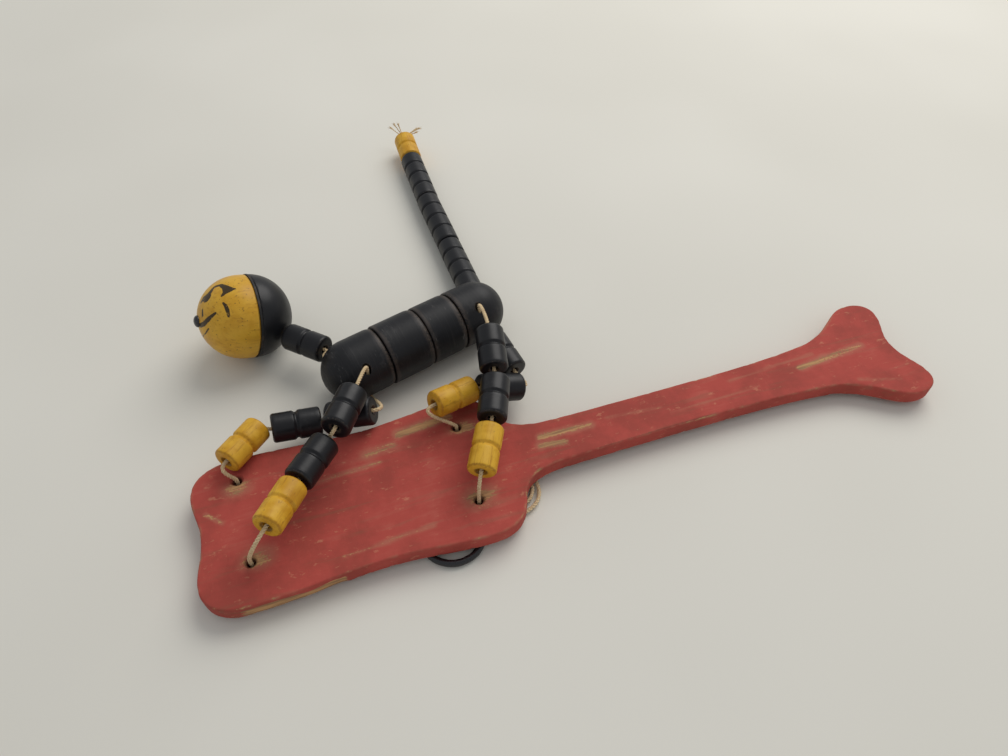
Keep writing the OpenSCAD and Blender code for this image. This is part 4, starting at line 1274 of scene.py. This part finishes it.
# Marks on the face: a halo is its place and two radii; a streak or smudge its ends, width and strength
marks = {
    "halo": [(-37, -13.3, 6.5, 4.6), (-40.8, 16.2, 6.0, 4.0), (39.9, -14.2, 7.0, 4.8),
             (42.7, 16.9, 6.5, 4.0)],
    "streaks": [
        ((19, 21), (38.7, 23.3), 2.6, 0.75), ((-46.7, 4), (-51.9, 9.1), 1.1, 0.6),
        ((67.6, -0.7), (76.9, -2.4), 2.2, 0.62), ((68.9, 2.7), (88.8, 1.8), 2.4, 0.62),
        ((180.8, 0.8), (211.8, 3.7), 2.0, 0.55), ((5.3, 15.8), (16, 17), 2.2, 0.45),
        ((-20, 9), (10, 11), 1.2, 0.42), ((-10, -22), (22, -20), 1.0, 0.4),
        ((96, 3), (118, 1), 1.2, 0.45), ((120, -3), (160, -2), 0.8, 0.42),
        ((150, 4), (190, 6), 0.9, 0.45), ((200, -12), (216, -17), 1.0, 0.4),
    ],
    "smudges": [
        ((22.8, -16.8), (36.2, -29), 3.0, 0.42), ((-44, 20), (-30, 24), 3.5, 0.35),
        ((30, 14), (34, 22), 4, 0.3), ((60, -9), (150, -8.2), 0.5, 0.75), ((54, -27), (66, -12), 1.2, 0.35),
    ],
}


def outlineLoop():
    work = bmesh.new()
    work.from_mesh(nodes["paddle"].data)
    bmesh.ops.remove_doubles(work, verts=work.verts, dist=1e-6)
    levels = sorted({round(v.co.z, 5) for v in work.verts})
    wall = [z for z in levels if 0.0003 < z < (paddle["thick"] - 0.3) * mm]
    best = []
    for level in wall:
        ring = {v: [e.other_vert(v) for e in v.link_edges if abs(e.other_vert(v).co.z - level) < 2e-6]
                for v in work.verts if abs(v.co.z - level) < 2e-6}
        if not ring:
            continue
        start = min(ring, key=lambda v: v.co.x)
        loop, last, here = [start], None, start
        while True:
            following = [v for v in ring[here] if v is not last]
            if not following:
                break
            last, here = here, following[0]
            if here is start or len(loop) > len(ring):
                break
            loop.append(here)
        if len(loop) > len(best):
            best = [Vector((v.co.x, v.co.y)) for v in loop]
    work.free()
    return best


def evenLoop(points, spacing):
    area = sum(a.x * b.y - b.x * a.y for a, b in zip(points, points[1:] + points[:1]))
    if area < 0:
        points = points[::-1]
    n = len(points)
    dense = []
    for i in range(n):
        a, b, c, d = (points[(i + k) % n] for k in (-1, 0, 1, 2))
        dense += [onCurve(a, b, c, d, k / 8) for k in range(8)]
    dense = np.array([tuple(p) for p in dense])
    closed = np.vstack([dense, dense[:1]])
    lengths = np.concatenate([[0], np.cumsum(np.hypot(*np.diff(closed, axis=0).T))])
    count = int(lengths[-1] / spacing)
    where = np.arange(count) * lengths[-1] / count
    return np.stack([np.interp(where, lengths, closed[:, k]) for k in (0, 1)], 1)


def inwardWay(loop):
    along = np.roll(loop, -2, 0) - np.roll(loop, 2, 0)
    along /= np.linalg.norm(along, axis=1)[:, None]
    return np.stack([-along[:, 1], along[:, 0]], 1)


def streakShare(x, y, a, b, wide):
    return np.exp(-(fromSegment(x, y, a, b)[1] / wide) ** 2)


def softNoise(points, scale, seed):
    shift = Vector((seed * 3.1, seed * 7.7, seed * 1.9))
    return np.array([noise.fractal(Vector(p) * scale + shift, 1.0, 2.0, 3) for p in points])


def circle(centre, radius, count):
    turns = [2 * math.pi * k / count for k in range(count)]
    return [(centre.x + math.cos(a) * radius, centre.y + math.sin(a) * radius) for a in turns]


# The edge from the underside to the face, as rows of how far in and how high
def edgeRows():
    thick, soft = paddle["thick"] * mm, paddle["soft"] * mm
    turns = [math.radians(90 * step / paddle["softSteps"]) for step in range(paddle["softSteps"], -1, -1)]
    lower = [(soft * (1 - math.cos(a)), soft * (1 - math.sin(a))) for a in turns]
    walls = [(0, soft + (thick - 2 * soft) * i / paddle["wallSteps"]) for i in range(1, paddle["wallSteps"])]
    upper = [(inset, thick - z) for inset, z in reversed(lower)]
    flats = [soft + inset * mm for inset in paddle["flatRows"]]
    under, face = ([(inset, z) for inset in flats] for z in (0.0, thick))
    return under[::-1] + lower + walls + upper + face


# A hole's wall in the same way, in millimetres, widened at both mouths by the cord
def holeRows():
    wide, thick = paddle["holeWear"], paddle["thick"]
    lower = [(wide * (1 - share) ** 1.3, wide * share) for share in (0, 0.2, 0.45, 0.75, 1)]
    return lower + [(0, thick / 2)] + [(inset, thick - z) for inset, z in reversed(lower)]


def stitched(base, rows, count, inside=False):
    faces = []
    for row in range(rows - 1):
        a, b = base + row * count, base + (row + 1) * count
        for k in range(count):
            j = (k + 1) % count
            faces.append((a + k, b + k, b + j, a + j) if inside else (a + k, a + j, b + j, b + k))
    return faces


def insideOutline(places, outline):
    x, y = places.T[:, :, None]
    x1, y1 = outline.T
    x2, y2 = np.roll(x1, -1), np.roll(y1, -1)
    crossing = ((y1 > y) != (y2 > y)) & (x < (x2 - x1) * (y - y1) / (y2 - y1 + 1e-12) + x1)
    return crossing.sum(1) % 2 == 1


# The flat middle of a face: a grid of points between its outline and the holes, joined by triangles
def flatMiddle(outline, holes):
    grid, steps = paddle["grid"] * mm, paddle["holeSteps"]
    mouth = (paddle["holeRadius"] + paddle["holeWear"]) * mm
    cap = [Vector(p) for p in outline]
    edges = [(i, (i + 1) % len(outline)) for i in range(len(outline))]
    for hole in holes:
        base = len(cap)
        cap += [Vector(p) for p in circle(hole, mouth, steps)]
        edges += [(base + k, base + (k + 1) % steps) for k in range(steps)]
    xs = np.arange(outline[:, 0].min(), outline[:, 0].max(), grid)
    ys = np.arange(outline[:, 1].min(), outline[:, 1].max(), grid * 0.866)
    gx, gy = np.meshgrid(xs, ys)
    gx = gx + (np.arange(len(ys)) % 2)[:, None] * grid / 2
    places = np.stack([gx.ravel(), gy.ravel()], 1)
    near = np.sqrt(((places[:, None, :] - outline[None, ::2, :]) ** 2).sum(2).min(1)) < grid * 0.6
    for hole in holes:
        near |= np.hypot(places[:, 0] - hole.x, places[:, 1] - hole.y) < mouth + grid * 0.5
    cap += [Vector(p) for p in places[insideOutline(places, outline) & ~near]]
    points, _, faces = geometry.delaunay_2d_cdt(cap, edges, [], 0, 1e-7)[:3]
    middles = [sum((points[i] for i in face), Vector((0, 0))) / 3 for face in faces]
    onBoard = insideOutline(np.array([tuple(centre) for centre in middles]), outline)
    return points, [face for face, centre, within in zip(faces, middles, onBoard)
                    if within and all((centre - hole.xy).length >= mouth * 0.995 for hole in holes)]


def makePaddle():
    loop = evenLoop(outlineLoop(), paddle["spacing"] * mm)
    inward = inwardWay(loop)
    rows = edgeRows()
    points = [(x, y, z) for inset, z in rows for x, y in loop + inward * inset]
    faces = stitched(0, len(rows), len(loop))
    holes = [beads[3] for beads in legs.values()]
    flatPoints, flatFaces = flatMiddle(loop + inward * rows[-1][0], holes)
    for z, flip in ((paddle["thick"] * mm, False), (0.0, True)):
        base = len(points)
        points += [(p.x, p.y, z) for p in flatPoints]
        faces += [tuple(base + i for i in (reversed(face) if flip else face)) for face in flatFaces]
    walls = holeRows()
    for hole in holes:
        faces += stitched(len(points), len(walls), paddle["holeSteps"], True)
        for inset, z in walls:
            ring = circle(hole, (paddle["holeRadius"] + inset) * mm, paddle["holeSteps"])
            points += [(x, y, z * mm) for x, y in ring]
    mesh = meshFrom("paddle_wood", points, [], faces)
    outward(mesh, math.radians(paddle["sharpTurn"]))
    wearPaddle(mesh, loop, inward, holes)
    mesh.materials.append(red)
    made = newObject("paddle_wood", mesh)
    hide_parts("paddle")
    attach(made, "handle_paddle")


# How far each point is from the outline, and which outline point is nearest
def fromOutline(places, loop, blockSize=4000):
    away, which = [], []
    for start in range(0, len(places), blockSize):
        gap = ((places[start:start + blockSize, None, :2] - loop[None]) ** 2).sum(2)
        which.append(gap.argmin(1))
        away.append(np.sqrt(gap.min(1)))
    return np.concatenate(away), np.concatenate(which)


def wearPaddle(mesh, loop, inward, holes):
    co = vertexArray(mesh)
    distance, which = fromOutline(co, loop)
    edgeAway = np.hypot(distance, np.minimum(co[:, 2], paddle["thick"] * mm - co[:, 2]))
    x, y, z = co.T / mm
    dents = softNoise(co, wear["dents"], 1)
    ripple = softNoise(co * np.array(wear["rippleStretch"]), wear["ripple"], 2)
    edge = np.exp(-(edgeAway / (wear["reach"] * mm)) ** 2)
    onFace = z > wear["halfway"]
    first, last = wear["split"]
    fadeIn, fadeOut = wear["splitFade"]
    split = (np.clip((x - first) / fadeIn, 0, 1) * np.clip((last - x) / fadeOut, 0, 1)
             * (y < wear["splitSide"]) * (distance < wear["wallReach"] * mm)
             * np.clip((wear["splitTop"] + wear["splitSway"] * ripple - z) / wear["splitSoft"], 0, 1))
    push = (edge * np.clip(dents - wear["dentFrom"], 0, 1) * wear["dentDeep"] * mm
            + split * wear["splitDeep"] * mm * (0.75 + 0.5 * ripple))
    rubbed = edge * np.clip(ripple - wear["rippleFrom"], 0, 1) * wear["rippleDeep"] * mm
    move = np.zeros_like(co)
    move[:, :2] = inward[which] * push[:, None]
    move[:, 2] = np.where(onFace, -1.0, 1.0) * rubbed * (distance < wear["rimReach"] * mm)
    mesh.vertices.foreach_set("co", (co + move).astype(np.float32).ravel())
    mesh.update()
    halos = [np.exp(-(((x - hx) / wide) ** 2 + ((y - hy) / tall) ** 2)) * wear["haloBare"]
             for hx, hy, wide, tall in marks["halo"]]
    streaks = [streakShare(x, y, a, b, wide) * amount for a, b, wide, amount in marks["streaks"]]
    bare = np.max(halos + streaks, 0) * np.where(onFace, 1.0, wear["underBare"])
    bare = np.maximum(bare, edge * (wear["edgeBare"] + wear["dentBare"] * np.clip(dents, -0.5, 1)))
    floatAttribute(mesh, "bare", np.maximum(bare, split * wear["splitBare"]))
    smudges = [streakShare(x, y, a, b, wide) * amount for a, b, wide, amount in marks["smudges"]]
    for hole in holes:
        away = np.hypot(x - hole.x / mm, y - hole.y / mm) - paddle["holeRadius"]
        smudges.append(np.exp(-(np.maximum(away, 0) / wear["holeReach"]) ** 2) * wear["holeGrime"])
    # Besides the smudges and hole mouths, the lowest strip of the wall is made darker towards the bottom,
    # through the same attribute
    underEdge = np.exp(-(np.maximum(z, 0) / wear["underReach"]) ** 2) * (distance < wear["wallReach"] * mm)
    floatAttribute(mesh, "grime", np.max(smudges + [underEdge * wear["underGrime"]], 0))


makePaddle()
print("paddle made")


# Pull rings, disc and nose keep their solids' shapes

for name, finish in (("front_pull_ring", enamel), ("rear_pull_ring", enamel), ("ear_disc", leather),
                     ("nose_tack", tack)):
    mesh = nodes[name].data
    mesh.materials.clear()
    mesh.materials.append(finish)
    mesh.shade_smooth()


# Table

def makeTable():
    half = 1.6
    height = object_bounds()[0].z - 0.02 * mm
    corners = [(x * half, y * half, height) for x, y in ((-1, -1), (1, -1), (1, 1), (-1, 1))]
    mesh = meshFrom("table", corners, [], [(0, 1, 2, 3)])
    mesh.materials.append(plainFinish("pale_table", paleTable))
    table = newObject("table", mesh)


makeTable()
print("table made")
